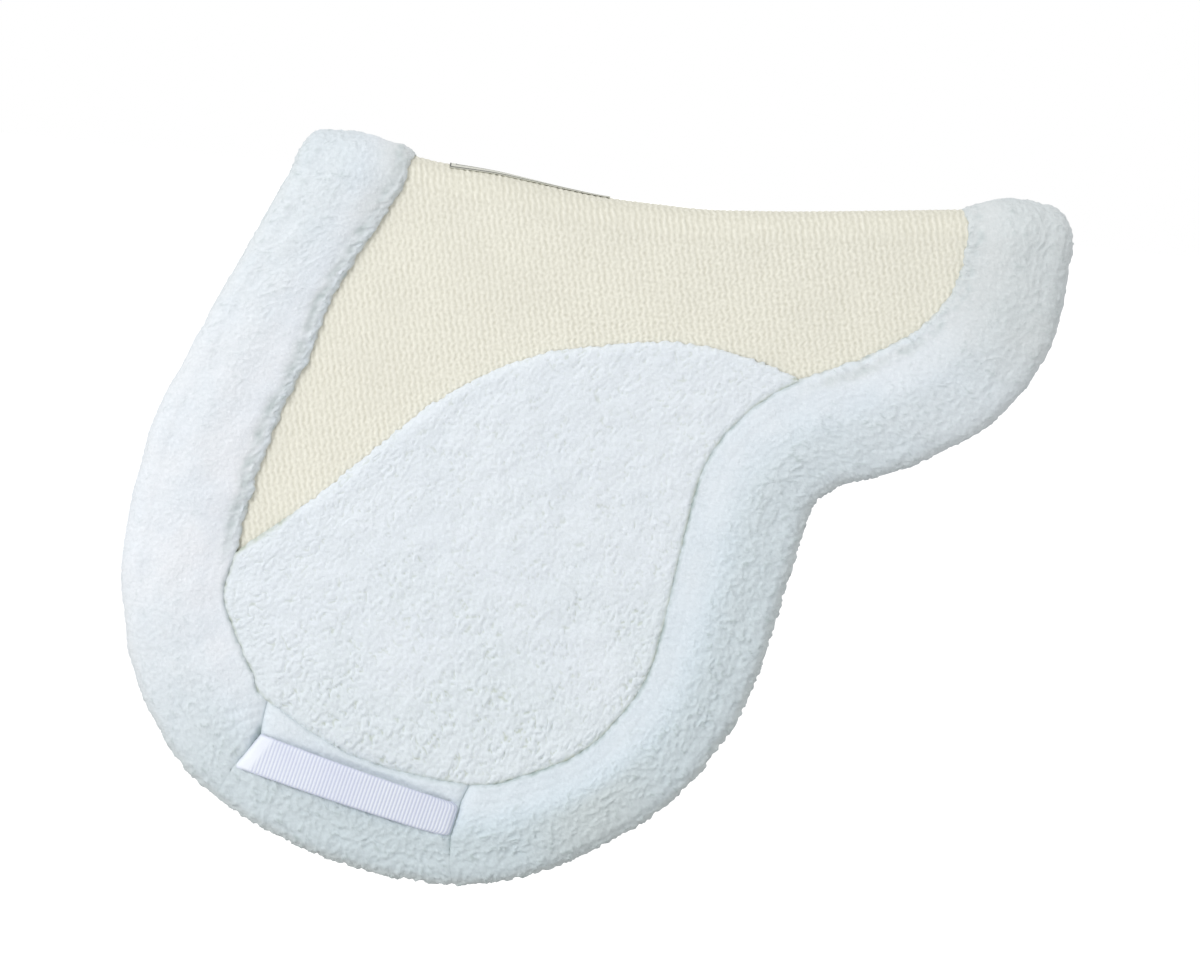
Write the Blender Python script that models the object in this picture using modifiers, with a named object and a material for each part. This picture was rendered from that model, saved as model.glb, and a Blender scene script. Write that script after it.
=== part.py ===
"""Hunter saddle pad, folded over its spine as it hangs on a horse's back.

The pad is two mirror-image halves, near (-Y) and off (+Y), joined by a fold strip along the
spine. Each half is a stack of knit mesh, foam and fleece lining with a sherpa flap panel on it,
edged all round by a filled fleece border in three strips, with a webbing girth keeper whose
ends are sewn into the border's two bottom seams. The withers are at -X and the cantle at +X.
The origin is at the underside of the spine's lining, at the middle of its length.

Lengths are in millimetres. They are turned into metres where vertices are made.
"""

import math

import bmesh
import bpy
from mathutils import Matrix, Vector

MM = 0.001

# Outline of a hanging half: front to rear, and from the origin down to its lowest point
PAD_LENGTH = 684.1
PAD_DROP = 512.7

# Layers of each half, from the outside in
MESH_THICK = 1.7
FOAM_THICK = 5.6
LINING_THICK = 4.1
FLAP_THICK = 7.0
CLEARANCE = 0.3

# Fleece border: a filled roll that wraps the panel's edge
BORDER_THICK = 30.0
COVER_THICK = 3.5
SHOULDER_WIDTH = 14.0
NOSE_WIDTH = 18.0
PANEL_TUCK = 34.0
SLOT_END_GAP = 1.0
BORDER_STEP = 40.0

# Gap between the inner faces of the two hanging borders, and the play at the fold
HALF_GAP = 2.0
FOLD_PLAY = 0.2

# Girth keeper: nylon webbing, its ends in the front and rear bottom seams
KEEPER_WIDTH = 25.4
KEEPER_THICK = 1.6
KEEPER_LIFT = 2.0
KEEPER_BULGE = 8.0
KEEPER_TONGUE = 9.0
KEEPER_FRONT_INSET = 43.0
KEEPER_REAR_INSET = 29.0
KEEPER_CORNER = 1.6
KEEPER_ARCH_STEPS = 10

# Label and seam tape at the spine
LABEL_LENGTH = 122.0
LABEL_DROP = 34.0
LABEL_OVERLAP = 8.0
LABEL_THICK = 0.8
LABEL_CENTRE_X = -119.0
LABEL_GAP = 0.6
TAPE_WIDTH = 16.0
TAPE_THICK = 0.8
TAPE_END_INSET = 4.0

# Flap panel
FLAP_EDGE_GAP = 0.8
FLAP_BEVEL = 2.5

# Fold strip
SPINE_STEP = 35.0
FOLD_STEPS = 8
ENVELOPE_HEIGHT = 60.0
ENVELOPE_MARGIN = 20.0

# Stations across the border as drawn, each an outer point and an inner crease point (x, z)
FRONT_TOP = ((-295.0, 14.0), (-211.5, 7.4))
FRONT_STATIONS = [
    ((-339.6, -85.2), (-253.8, -76.2)),
    ((-359.5, -132.5), (-268.8, -126.8)),
    ((-379.7, -183.7), (-285.4, -170.0)),
    ((-390.0, -236.0), (-299.5, -222.0)),
    ((-394.5, -294.6), (-309.5, -280.0)),
    ((-390.5, -328.0), (-314.5, -311.0)),
    ((-380.0, -368.0), (-303.1, -341.0)),
    ((-350.5, -418.8), (-288.0, -367.7)),
]
FRONT_SEAM = ((-304.5, -462.3), (-274.6, -387.6))
BOTTOM_STATIONS = [((-215.1, -501.0), (-202.9, -423.8))]
REAR_SEAM = ((-123.5, -512.7), (-118.8, -435.3))
REAR_STATIONS = [
    ((-64.6, -500.0), (-77.0, -424.1)),
    ((-14.6, -473.5), (-37.0, -402.5)),
    ((35.5, -432.9), (-11.4, -373.5)),
    ((70.5, -382.0), (5.8, -343.0)),
    ((88.6, -334.3), (13.4, -308.3)),
    ((98.6, -290.0), (19.0, -266.0)),
    ((108.6, -237.9), (24.6, -220.4)),
    ((114.5, -209.5), (30.0, -187.5)),
    ((124.0, -194.5), (43.0, -157.0)),
    ((141.0, -182.6), (67.6, -127.6)),
    ((166.6, -172.3), (99.0, -105.5)),
    ((197.1, -156.7), (130.0, -91.5)),
    ((226.6, -138.2), (158.8, -75.5)),
    ((252.8, -114.0), (183.0, -57.5)),
    ((274.1, -81.1), (199.0, -36.5)),
    ((286.0, -43.8), (207.0, -17.0)),
]
REAR_TOP = ((289.6, 13.4), (210.5, 10.4))

# Upper edge of the flap panel, between the front crease and the rear crease
FLAP_EDGE = [
    (-253.4, -230.7), (-192.6, -170.0), (-156.6, -139.9), (-101.8, -109.2),
    (-45.2, -95.0), (5.4, -88.1), (55.0, -93.5),
]
FLAP_FRONT_AT = 5
FLAP_REAR_STATION = 10

# Top of the spine, as the outer surface of the mesh (x, z)
SPINE_RIDGE = [
    (-300.0, 36.4), (-252.0, 32.5), (-211.5, 29.4), (-185.0, 26.0), (-147.0, 23.3),
    (-118.0, 19.6), (-89.0, 15.8), (-60.0, 12.9), (-20.0, 12.0), (20.0, 12.2),
    (85.0, 17.9), (159.0, 26.4), (210.5, 32.4), (248.0, 34.6), (294.0, 35.6),
]

# Sizes that follow from the ones above
STACK_THICK = MESH_THICK + FOAM_THICK + LINING_THICK + 2 * CLEARANCE
SLOT_HALF = STACK_THICK / 2 + CLEARANCE
FOLD_RADIUS = BORDER_THICK / 2 + HALF_GAP / 2
HINGE_OFFSET = FOLD_RADIUS * math.pi / 4
SEAM_GAP = KEEPER_THICK + 3 * CLEARANCE
HINGE_HEIGHT = max(z for x, z in SPINE_RIDGE) - FOLD_RADIUS - STACK_THICK / 2 + HINGE_OFFSET
NEAR, OFF = -1, 1

# The drawn lists, stretched to the pad's length and drop
STATIONS = [
    FRONT_TOP, *FRONT_STATIONS, FRONT_SEAM, *BOTTOM_STATIONS, REAR_SEAM, *REAR_STATIONS, REAR_TOP
]
DRAWN_X = [x for station in STATIONS for x, z in station]
DRAWN_Z = [z for station in STATIONS for x, z in station]
LENGTH_SCALE = PAD_LENGTH / (max(DRAWN_X) - min(DRAWN_X))
DROP_SCALE = PAD_DROP / -min(DRAWN_Z)
BORDER_OUTER = [(outer[0] * LENGTH_SCALE, outer[1] * DROP_SCALE) for outer, inner in STATIONS]
BORDER_INNER = [(inner[0] * LENGTH_SCALE, inner[1] * DROP_SCALE) for outer, inner in STATIONS]
FLAP_LINE = [(x * LENGTH_SCALE, z * DROP_SCALE) for x, z in FLAP_EDGE]
RIDGE_LINE = [(x * LENGTH_SCALE, z) for x, z in SPINE_RIDGE]
FRONT_SEAM_AT = 1 + len(FRONT_STATIONS)
REAR_SEAM_AT = FRONT_SEAM_AT + 1 + len(BOTTOM_STATIONS)
BORDER_END_AT = REAR_SEAM_AT + 1 + len(REAR_STATIONS)
FLAP_REAR_AT = REAR_SEAM_AT + 1 + FLAP_REAR_STATION

COLOURS = {
    "border_fleece": ((0.80, 0.84, 0.89), 0.95),
    "flap_sherpa": ((0.74, 0.79, 0.81), 0.97),
    "knit_mesh": ((0.81, 0.80, 0.70), 0.85),
    "foam": ((0.86, 0.84, 0.76), 0.90),
    "lining_fleece": ((0.82, 0.84, 0.84), 0.97),
    "polyester_filler": ((0.88, 0.88, 0.88), 0.95),
    "nylon_webbing": ((0.77, 0.82, 0.89), 0.55),
    "cotton_tape": ((0.82, 0.81, 0.76), 0.85),
    "woven_label": ((0.78, 0.78, 0.74), 0.60),
}


# Scene and materials

def clear_scene():
    """Remove every object that the file opened with."""
    for obj in list(bpy.data.objects):
        bpy.data.objects.remove(obj, do_unlink=True)


def make_material(name):
    """Return the material of that name, with its colour and roughness from COLOURS."""
    material = bpy.data.materials.get(name)
    if material:
        return material
    colour, roughness = COLOURS[name]
    material = bpy.data.materials.new(name)
    material.use_nodes = True
    shader = material.node_tree.nodes["Principled BSDF"]
    shader.inputs["Base Color"].default_value = (*colour, 1.0)
    shader.inputs["Roughness"].default_value = roughness
    shader.inputs["Metallic"].default_value = 0.0
    material.diffuse_color = (*colour, 1.0)
    return material


def add_object(name, data, material, pivot, collection):
    """Link a new object, give it its material and parent it to its body's empty."""
    obj = bpy.data.objects.new(name, data)
    data.materials.append(make_material(material))
    collection.objects.link(obj)
    obj.parent = pivot
    obj.matrix_parent_inverse = Matrix.Translation(-pivot.location)
    return obj


# Smooth curves through points

def catmull(points, t):
    """Point at t, from 0 to len(points) - 1, on the smooth curve through the points."""
    last = len(points) - 1
    i = min(int(t), last - 1)
    f = t - i
    p1, p2 = Vector(points[i]), Vector(points[i + 1])
    p0 = Vector(points[i - 1]) if i > 0 else 2 * p1 - p2
    p3 = Vector(points[i + 2]) if i + 2 <= last else 2 * p2 - p1
    return 0.5 * (
        2 * p1
        + (p2 - p0) * f
        + (2 * p0 - 5 * p1 + 4 * p2 - p3) * f ** 2
        + (3 * p1 - p0 - 3 * p2 + p3) * f ** 3
    )


def height_at(line, x):
    """Height at x of the smooth curve through a line's (x, z) points."""
    low, high = 0.0, float(len(line) - 1)
    for _ in range(40):
        middle = (low + high) / 2
        if catmull(line, middle).x < x:
            low = middle
        else:
            high = middle
    return catmull(line, low).y


def even_steps(length, step):
    """Number of equal steps of about the given size."""
    return max(2, round(length / step))


# The border's route

def border_station(t):
    """Inner crease point, unit direction outward and width of the border at route place t."""
    outer, inner = catmull(BORDER_OUTER, t), catmull(BORDER_INNER, t)
    across = outer - inner
    return inner, across.normalized(), across.length


def border_middle(t):
    """Middle of the border at route place t."""
    inner, outward, width = border_station(t)
    return inner + outward * width / 2


def place_along(start, distance, sign=1):
    """Route place that lies a small distance along the border's middle from start."""
    probe = 0.01 * sign
    speed = (border_middle(start + probe) - border_middle(start)).length / abs(probe)
    return start + sign * distance / speed


def border_places(start, end):
    """Route places from start to end, evenly spaced along the border's middle."""
    fine = [start + (end - start) * i / 200 for i in range(201)]
    travelled = [0.0]
    for a, b in zip(fine, fine[1:]):
        travelled.append(travelled[-1] + (border_middle(b) - border_middle(a)).length)
    count = even_steps(travelled[-1], BORDER_STEP)
    places = []
    for i in range(count + 1):
        goal = travelled[-1] * i / count
        j = next((k for k, d in enumerate(travelled) if d >= goal), len(fine) - 1)
        places.append(fine[j])
    return places


# Where the halves stop and the fold begins

def fold_centre(x):
    """Height of the fold's centre line at x: the halves hang below it."""
    return height_at(RIDGE_LINE, x) - FOLD_RADIUS - STACK_THICK / 2


def spine_point(x, radius, angle):
    """Point of the fold strip: angle is measured from the top, towards the off side."""
    up = fold_centre(x) + radius * math.cos(angle)
    return Vector((x, radius * math.sin(angle), up)) * MM


def half_point(side, x, z, out):
    """Point of a half: out is its distance outward from the half's middle plane."""
    return Vector((x, side * (FOLD_RADIUS + out), z)) * MM


# Solids

def strip_cap(count):
    """Faces across a ring that runs out along one side and back along the other."""
    return [(i, i + 1, count - 2 - i, count - 1 - i) for i in range(count // 2 - 1)]


def slotted_cap(count):
    """Faces across a filler's ring: its last two points are the slot's corners."""
    low, high = count - 2, count - 1
    tip = (count - 3) // 2
    upper = [(high, i, i + 1) for i in range(tip)]
    lower = [(low, i, i + 1) for i in range(tip, count - 3)]
    return upper + [(high, tip, low)] + lower


def loft(name, rings, cap, material, pivot, collection):
    """Closed body through rings of equal length, with the cap's faces at each end."""
    bm = bmesh.new()
    rows = [[bm.verts.new(p) for p in ring] for ring in rings]
    count = len(rows[0])
    for a, b in zip(rows, rows[1:]):
        for i in range(count):
            j = (i + 1) % count
            bm.faces.new((a[i], a[j], b[j], b[i]))
    for row in (rows[0], rows[-1]):
        for corners in cap(count):
            bm.faces.new([row[i] for i in corners])
    bmesh.ops.recalc_face_normals(bm, faces=bm.faces)
    mesh = bpy.data.meshes.new(name)
    bm.to_mesh(mesh)
    bm.free()
    mesh.shade_smooth()
    mesh.set_sharp_from_angle(angle=math.radians(40))
    return add_object(name, mesh, material, pivot, collection)


def sheet(name, rows, thickness, material, pivot, collection):
    """Open grid of points with a Solidify modifier: half its thickness on each side."""
    bm = bmesh.new()
    grid = [[bm.verts.new(p) for p in row] for row in rows]
    for a, b in zip(grid, grid[1:]):
        for i in range(len(a) - 1):
            bm.faces.new((a[i], a[i + 1], b[i + 1], b[i]))
    mesh = bpy.data.meshes.new(name)
    bm.to_mesh(mesh)
    bm.free()
    mesh.shade_smooth()
    mesh.set_sharp_from_angle(angle=math.radians(40))
    obj = add_object(name, mesh, material, pivot, collection)
    solidify = obj.modifiers.new("thickness", "SOLIDIFY")
    solidify.thickness = thickness * MM
    solidify.offset = 0.0
    return obj


def flat_panel(name, outline, out_low, out_high, side, material, pivot, collection, chamfer=0.0):
    """Flat outline of (x, z) points in a half's plane, from out_low to out_high off its middle."""
    curve = bpy.data.curves.new(name, "CURVE")
    curve.dimensions = "2D"
    curve.fill_mode = "BOTH"
    curve.extrude = ((out_high - out_low) / 2 - chamfer) * MM
    curve.bevel_depth = chamfer * MM
    curve.bevel_resolution = 0
    curve.offset = -chamfer * MM
    spline = curve.splines.new("POLY")
    spline.points.add(len(outline) - 1)
    for point, (x, z) in zip(spline.points, outline):
        point.co = (x * MM, z * MM, 0.0, 1.0)
    spline.use_cyclic_u = True
    obj = add_object(name, curve, material, pivot, collection)
    obj.rotation_euler = (math.pi / 2, 0.0, 0.0)
    obj.location = (0.0, side * (FOLD_RADIUS + (out_low + out_high) / 2) * MM, 0.0)
    return obj


# Border section

def border_contour(width, inset):
    """Outline (u, out) of the border's section, from one lip over the nose to the other."""
    half = BORDER_THICK / 2 - inset
    upper = []
    for degrees in (0, 45, 90):
        turn = math.radians(degrees)
        u = SHOULDER_WIDTH - (SHOULDER_WIDTH - inset) * math.cos(turn)
        upper.append((u, SLOT_HALF + (half - SLOT_HALF) * math.sin(turn)))
    for degrees in (0, 45):
        turn = math.radians(degrees)
        u = width - NOSE_WIDTH + (NOSE_WIDTH - inset) * math.sin(turn)
        upper.append((u, half * math.cos(turn)))
    return upper + [(width - inset, 0.0)] + [(u, -out) for u, out in reversed(upper)]


def cover_section(width):
    """Section of the fleece cover: a C-shaped shell, open where the panel enters."""
    return border_contour(width, 0.0) + border_contour(width, COVER_THICK)[::-1]


def filler_section(width):
    """Section of the filler: it fills the cover, with a slot for the panel's edge."""
    depth = PANEL_TUCK + SLOT_END_GAP
    return border_contour(width, COVER_THICK + CLEARANCE) + [(depth, -SLOT_HALF), (depth, SLOT_HALF)]


BORDER_PARTS = (
    ("cover", cover_section, strip_cap, "border_fleece"),
    ("filler", filler_section, slotted_cap, "polyester_filler"),
)


def half_ring(side, t, section):
    """Ring of one border section, at route place t of a half."""
    inner, outward, width = border_station(t)
    at_top = t in (0, BORDER_END_AT)
    ring = []
    for u, out in section(width):
        x, z = inner + outward * u
        if at_top:
            z = fold_centre(x) - CLEARANCE
        ring.append(half_point(side, x, z, out))
    return ring


def strip_places():
    """Route places of the sections of the three border strips, which stop short of the seams."""
    front_stop = place_along(FRONT_SEAM_AT, SEAM_GAP / 2, -1)
    bottom_start = place_along(FRONT_SEAM_AT, SEAM_GAP / 2)
    bottom_stop = place_along(REAR_SEAM_AT, SEAM_GAP / 2, -1)
    rear_start = place_along(REAR_SEAM_AT, SEAM_GAP / 2)
    return {
        "front": border_places(0, FLAP_FRONT_AT) + border_places(FLAP_FRONT_AT, front_stop)[1:],
        "bottom": border_places(bottom_start, bottom_stop),
        "rear": border_places(rear_start, FLAP_REAR_AT) + border_places(FLAP_REAR_AT, BORDER_END_AT)[1:],
    }


def all_places():
    """Route places of every section of the border, from withers to cantle."""
    return [place for places in strip_places().values() for place in places]


def border_strip(side, name, places, pivot, collection):
    """Cover and filler of one border strip of a half."""
    for part, section, cap, material in BORDER_PARTS:
        rings = [half_ring(side, t, section) for t in places]
        loft(f"{name}_border_{part}", rings, cap, material, pivot, collection)


# Pieces of a half

def panel_outline():
    """Outline of the mesh, foam and lining: the fold line, and a line inside the border."""
    outline = []
    for t in all_places():
        inner, outward, width = border_station(t)
        x, z = inner + outward * PANEL_TUCK
        if t in (0, BORDER_END_AT):
            z = fold_centre(x) - CLEARANCE
        outline.append((x, z))
    first, last = outline[0][0], outline[-1][0]
    for x in reversed(spine_places(first, last)[1:-1]):
        outline.append((x, fold_centre(x) - CLEARANCE))
    return outline


def flap_outline():
    """Outline of the flap panel: along the border's crease, and back by its upper edge."""
    crease = []
    for t in all_places():
        if not FLAP_FRONT_AT <= t <= FLAP_REAR_AT:
            continue
        inner, outward, width = border_station(t)
        crease.append(tuple(inner - outward * FLAP_EDGE_GAP))
    edge = [crease[-1]] + FLAP_LINE[::-1] + [crease[0]]
    count = 2 * (len(edge) - 1)
    upper = [tuple(catmull(edge, i * (len(edge) - 1) / count)) for i in range(1, count)]
    return crease + upper


def keeper_path(length):
    """Points (distance from the front seam, height over the border's face) of the keeper."""
    rise = [(0.0, -KEEPER_TONGUE), (0.0, -KEEPER_TONGUE / 2), (0.0, KEEPER_LIFT - KEEPER_THICK)]
    span = length - 2 * KEEPER_CORNER
    arch = []
    for i in range(KEEPER_ARCH_STEPS + 1):
        share = i / KEEPER_ARCH_STEPS
        lift = KEEPER_LIFT + KEEPER_BULGE * math.sin(math.pi * share)
        arch.append((KEEPER_CORNER + span * share, lift))
    return rise + arch + [(length - s, h) for s, h in reversed(rise)]


def girth_keeper(side, name, pivot, collection):
    """Webbing strap over the bottom strip, its two ends down in the border's seams."""
    corners = []
    for t, inset in ((FRONT_SEAM_AT, KEEPER_FRONT_INSET), (REAR_SEAM_AT, KEEPER_REAR_INSET)):
        inner, outward, width = border_station(t)
        top = inner + outward * (inset - KEEPER_WIDTH / 2)
        low = inner + outward * (inset + KEEPER_WIDTH / 2)
        corners.append((top, low))
    (top_a, low_a), (top_b, low_b) = corners
    length = ((top_b + low_b) / 2 - (top_a + low_a) / 2).length
    rows = []
    for s, height in keeper_path(length):
        row = []
        for a, b in ((top_a, top_b), (low_a, low_b)):
            x, z = a.lerp(b, s / length)
            row.append(half_point(side, x, z, BORDER_THICK / 2 + height))
        rows.append(row)
    sheet(f"{name}_girth_keeper", rows, KEEPER_THICK, "nylon_webbing", pivot, collection)


def make_half(side, name, pivot, collection):
    """All pieces of one half."""
    outline = panel_outline()
    out = STACK_THICK / 2
    for part, thickness, material in (
        ("mesh_panel", MESH_THICK, "knit_mesh"),
        ("foam_core", FOAM_THICK, "foam"),
        ("lining", LINING_THICK, "lining_fleece"),
    ):
        flat_panel(f"{name}_{part}", outline, out - thickness, out, side, material, pivot, collection)
        out -= thickness + CLEARANCE

    flat_panel(
        f"{name}_flap_fleece", flap_outline(), SLOT_HALF, SLOT_HALF + FLAP_THICK, side,
        "flap_sherpa", pivot, collection, chamfer=FLAP_BEVEL,
    )
    for strip, places in strip_places().items():
        border_strip(side, f"{name}_{strip}", places, pivot, collection)
    girth_keeper(side, name, pivot, collection)


# Pieces of the fold strip

def spine_places(start, end):
    """Evenly spaced x from start to end along the spine."""
    count = even_steps(end - start, SPINE_STEP)
    return [start + (end - start) * i / count for i in range(count + 1)]


def panel_ends():
    """Where the panel's front and rear edges lie at the fold, inside the border."""
    ends = []
    for t in (0, BORDER_END_AT):
        inner, outward, width = border_station(t)
        ends.append(inner.x + outward.x * PANEL_TUCK)
    return ends


def arc_angles(end):
    """Angles over the fold, from -end on the near side to end on the off side."""
    return [end * (2 * i / FOLD_STEPS - 1) for i in range(FOLD_STEPS + 1)]


def fold_envelope(collection):
    """Cutter: the space at the fold that the turning halves never reach.

    A hanging half turns about a line HINGE_OFFSET out and at least HINGE_OFFSET up from the
    fold's centre, so the space left to the spine is a box with its lower edges rounded by that.
    """
    reach = HINGE_OFFSET - FOLD_PLAY
    corner = [math.pi / 2 * i / FOLD_STEPS for i in range(FOLD_STEPS + 1)]
    right = [
        (HINGE_OFFSET + reach * math.sin(a), HINGE_OFFSET - reach * math.cos(a)) for a in corner
    ]
    right.append((HINGE_OFFSET + reach, ENVELOPE_HEIGHT))
    section = right + [(-y, z) for y, z in reversed(right)]
    front, rear = panel_ends()
    first, last = BORDER_OUTER[0][0], BORDER_OUTER[-1][0]
    at_withers, at_cantle = spine_places(first, front), spine_places(rear, last)
    places = [first - ENVELOPE_MARGIN] + at_withers[:-1] + spine_places(front, rear)
    places += at_cantle[1:] + [last + ENVELOPE_MARGIN]
    rings = [[Vector((x, y, fold_centre(x) + z)) * MM for y, z in section] for x in places]
    pivot = add_pivot("fold_envelope_pivot", 0.0, 0.0, collection)
    envelope = loft("fold_envelope", rings, strip_cap, "foam", pivot, collection)
    envelope.display_type = "WIRE"
    envelope.hide_render = True
    return envelope


def keep_in_fold(obj, envelope):
    """Cut a piece of the fold strip back to the envelope."""
    cut = obj.modifiers.new("fold_limit", "BOOLEAN")
    cut.operation = "INTERSECT"
    cut.object = envelope


def fold_layer(name, low, high, material, envelope, pivot, collection):
    """One layer of the panel where it bends over the spine, between two radii."""
    angles = arc_angles(math.pi / 2)
    rings = []
    for x in spine_places(*panel_ends()):
        upper = [spine_point(x, high, a) for a in angles]
        lower = [spine_point(x, low, a) for a in angles]
        rings.append(upper + lower[::-1])
    keep_in_fold(loft(name, rings, strip_cap, material, pivot, collection), envelope)


def fold_border(name, t, envelope, pivot, collection):
    """Cover and filler of the border where it bends over the spine, at route place t."""
    inner, outward, width = border_station(t)
    for part, section, cap, material in BORDER_PARTS:
        rings = [
            [spine_point(inner.x + outward.x * u, FOLD_RADIUS + out, angle) for u, out in section(width)]
            for angle in arc_angles(math.pi / 2)
        ]
        solid = loft(f"{name}_border_{part}", rings, cap, material, pivot, collection)
        keep_in_fold(solid, envelope)


def make_spine(envelope, pivot, collection):
    """All pieces that stay with the spine."""
    high = FOLD_RADIUS + STACK_THICK / 2
    for part, thickness, material in (
        ("mesh_strip", MESH_THICK, "knit_mesh"),
        ("foam_strip", FOAM_THICK, "foam"),
        ("lining_strip", LINING_THICK, "lining_fleece"),
    ):
        fold_layer(f"spine_{part}", high - thickness, high, material, envelope, pivot, collection)
        high -= thickness + CLEARANCE

    fold_border("withers", 0, envelope, pivot, collection)
    fold_border("cantle", BORDER_END_AT, envelope, pivot, collection)

    tape_radius = high - TAPE_THICK / 2
    tape_angles = arc_angles(TAPE_WIDTH / 2 / tape_radius)
    tape_start = BORDER_INNER[0][0] + TAPE_END_INSET
    tape_end = BORDER_INNER[-1][0] - TAPE_END_INSET
    places = spine_places(tape_start, tape_end)
    rows = [[spine_point(x, tape_radius, a) for a in tape_angles] for x in places]
    sheet("spine_seam_tape", rows, TAPE_THICK, "cotton_tape", pivot, collection)

    label_radius = FOLD_RADIUS + STACK_THICK / 2 + LABEL_GAP + LABEL_THICK / 2
    label_angles = [
        (LABEL_DROP * i / FOLD_STEPS - LABEL_OVERLAP) / label_radius for i in range(FOLD_STEPS + 1)
    ]
    label_start = LABEL_CENTRE_X * LENGTH_SCALE - LABEL_LENGTH / 2
    label_end = LABEL_CENTRE_X * LENGTH_SCALE + LABEL_LENGTH / 2
    places = spine_places(label_start, label_end)
    rows = [[spine_point(x, label_radius, a) for a in label_angles] for x in places]
    sheet("spine_label", rows, LABEL_THICK, "woven_label", pivot, collection)


def add_pivot(name, y, z, collection):
    """Empty on a body's joint axis."""
    empty = bpy.data.objects.new(name, None)
    empty.empty_display_size = 0.05
    empty.location = (0.0, y * MM, z * MM)
    collection.objects.link(empty)
    return empty


def main():
    """Build the pad."""
    clear_scene()
    collection = bpy.data.collections.new("hunter_saddle_pad")
    bpy.context.scene.collection.children.link(collection)
    cutters = bpy.data.collections.new("cutters")
    bpy.context.scene.collection.children.link(cutters)
    envelope = fold_envelope(cutters)
    spine = add_pivot("spine_body", 0.0, 0.0, collection)
    make_spine(envelope, spine, collection)
    for side, name in ((NEAR, "near"), (OFF, "off")):
        pivot = add_pivot(f"{name}_half_body", side * HINGE_OFFSET, HINGE_HEIGHT, collection)
        make_half(side, name, pivot, collection)


main()
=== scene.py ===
"""Hunter saddle pad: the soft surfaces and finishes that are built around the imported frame.

The pad hangs folded over its spine. Every layer is laid out in the flat, as (x, drop), where drop
is the length of cloth from the top of the fold, and is then bent over the fold and hung on its
side. Lengths are in millimetres and are turned into metres where meshes are made.
"""

from __future__ import annotations

import itertools
import logging
import math
from dataclasses import dataclass, field
from enum import Enum
from typing import Any, Sequence

import bpy
import numpy as np
from mathutils import Matrix, Vector
from mathutils.kdtree import KDTree

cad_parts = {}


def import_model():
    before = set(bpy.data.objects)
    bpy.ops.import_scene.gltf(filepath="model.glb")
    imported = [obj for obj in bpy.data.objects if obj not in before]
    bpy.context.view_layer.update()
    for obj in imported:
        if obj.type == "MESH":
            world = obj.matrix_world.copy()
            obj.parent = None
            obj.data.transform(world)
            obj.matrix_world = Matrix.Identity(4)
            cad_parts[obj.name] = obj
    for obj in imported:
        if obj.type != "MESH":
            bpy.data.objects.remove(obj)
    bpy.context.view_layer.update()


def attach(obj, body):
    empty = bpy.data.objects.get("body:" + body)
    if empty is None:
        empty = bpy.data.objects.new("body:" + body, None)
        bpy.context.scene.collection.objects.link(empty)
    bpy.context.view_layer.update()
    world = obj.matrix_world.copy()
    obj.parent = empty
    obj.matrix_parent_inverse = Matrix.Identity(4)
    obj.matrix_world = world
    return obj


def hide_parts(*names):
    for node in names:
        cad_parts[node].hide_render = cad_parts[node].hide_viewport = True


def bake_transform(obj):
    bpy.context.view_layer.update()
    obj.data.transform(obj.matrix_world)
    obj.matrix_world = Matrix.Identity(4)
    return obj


log = logging.getLogger("saddle_pad")

MM = 0.001
PLACE = "cloth_place"
HOLLOW = "hollow"
CURL_TONE_AND_SHADE = "curled"
PAINTED_SHADE = "dusted"
SHARP_ANGLE = math.radians(75.0)
WHITE = (1.0, 1.0, 1.0, 1.0)

Array = np.ndarray
Arrays = tuple[Array, Array]
Pair = tuple[float, float]
Triple = tuple[float, float, float]
Colour = Triple
Points = Sequence[Pair]
Material = bpy.types.Material
Materials = dict[str, Material]
Node = bpy.types.Node
Socket = bpy.types.NodeSocket
Tree = bpy.types.NodeTree
Piece = bpy.types.Object


class Side(Enum):
    """The two halves of the pad, by the sign of their Y."""

    NEAR = -1
    OFF = 1

    @property
    def prefix(self) -> str:
        """Start of the names of this half's pieces."""
        return self.name.lower()

    @property
    def body(self) -> str:
        """Name of the body that this half's pieces ride on."""
        return f"{self.prefix}_half"


# Smooth curves and noise


def smooth_step(value: Array) -> Array:
    """Value eased from 0 to 1, clipped outside."""
    value = np.clip(value, 0.0, 1.0)
    return value * value * (3.0 - 2.0 * value)


def fade(value: Array, reach: float | Array) -> Array:
    """One at zero, eased to 0 at reach."""
    return 1 - smooth_step(value / reach)


def hill(value: Array, middle: float, spread: float) -> Array:
    """Bell curve of height 1 about a middle."""
    return np.exp(-(((value - middle) / spread) ** 2))


def profile(points: Points, at: Array) -> Array:
    """Value read off a line through (place, value) points."""
    return np.interp(at, *zip(*points))


def travelled(line: Array) -> Array:
    """Distance along a polyline from its start to each of its points."""
    return np.concatenate([[0.0], np.cumsum(np.linalg.norm(np.diff(line, axis=0), axis=1))])


@dataclass(frozen=True)
class SmoothLine:
    """A smooth curve through points.

    Args:
        points: The (x, z) points that it passes through, one for each whole place.
    """

    points: Points

    @property
    def last(self) -> float:
        """Place of the last point."""
        return float(len(self.points) - 1)

    def at(self, places: Array) -> Array:
        """Points on the curve.

        Args:
            places: Places from 0 to last.

        Returns:
            One (x, z) row for each place.
        """
        knots = np.asarray(self.points, float)
        knots = np.vstack([2 * knots[0] - knots[1], knots, 2 * knots[-1] - knots[-2]])
        index = np.clip(places.astype(int), 0, len(self.points) - 2)
        f = (places - index)[:, None]
        p0, p1, p2, p3 = (knots[index + step] for step in range(4))
        return 0.5 * (
            2 * p1
            + (p2 - p0) * f
            + (2 * p0 - 5 * p1 + 4 * p2 - p3) * f**2
            + (3 * p1 - p0 - 3 * p2 + p3) * f**3
        )


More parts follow.
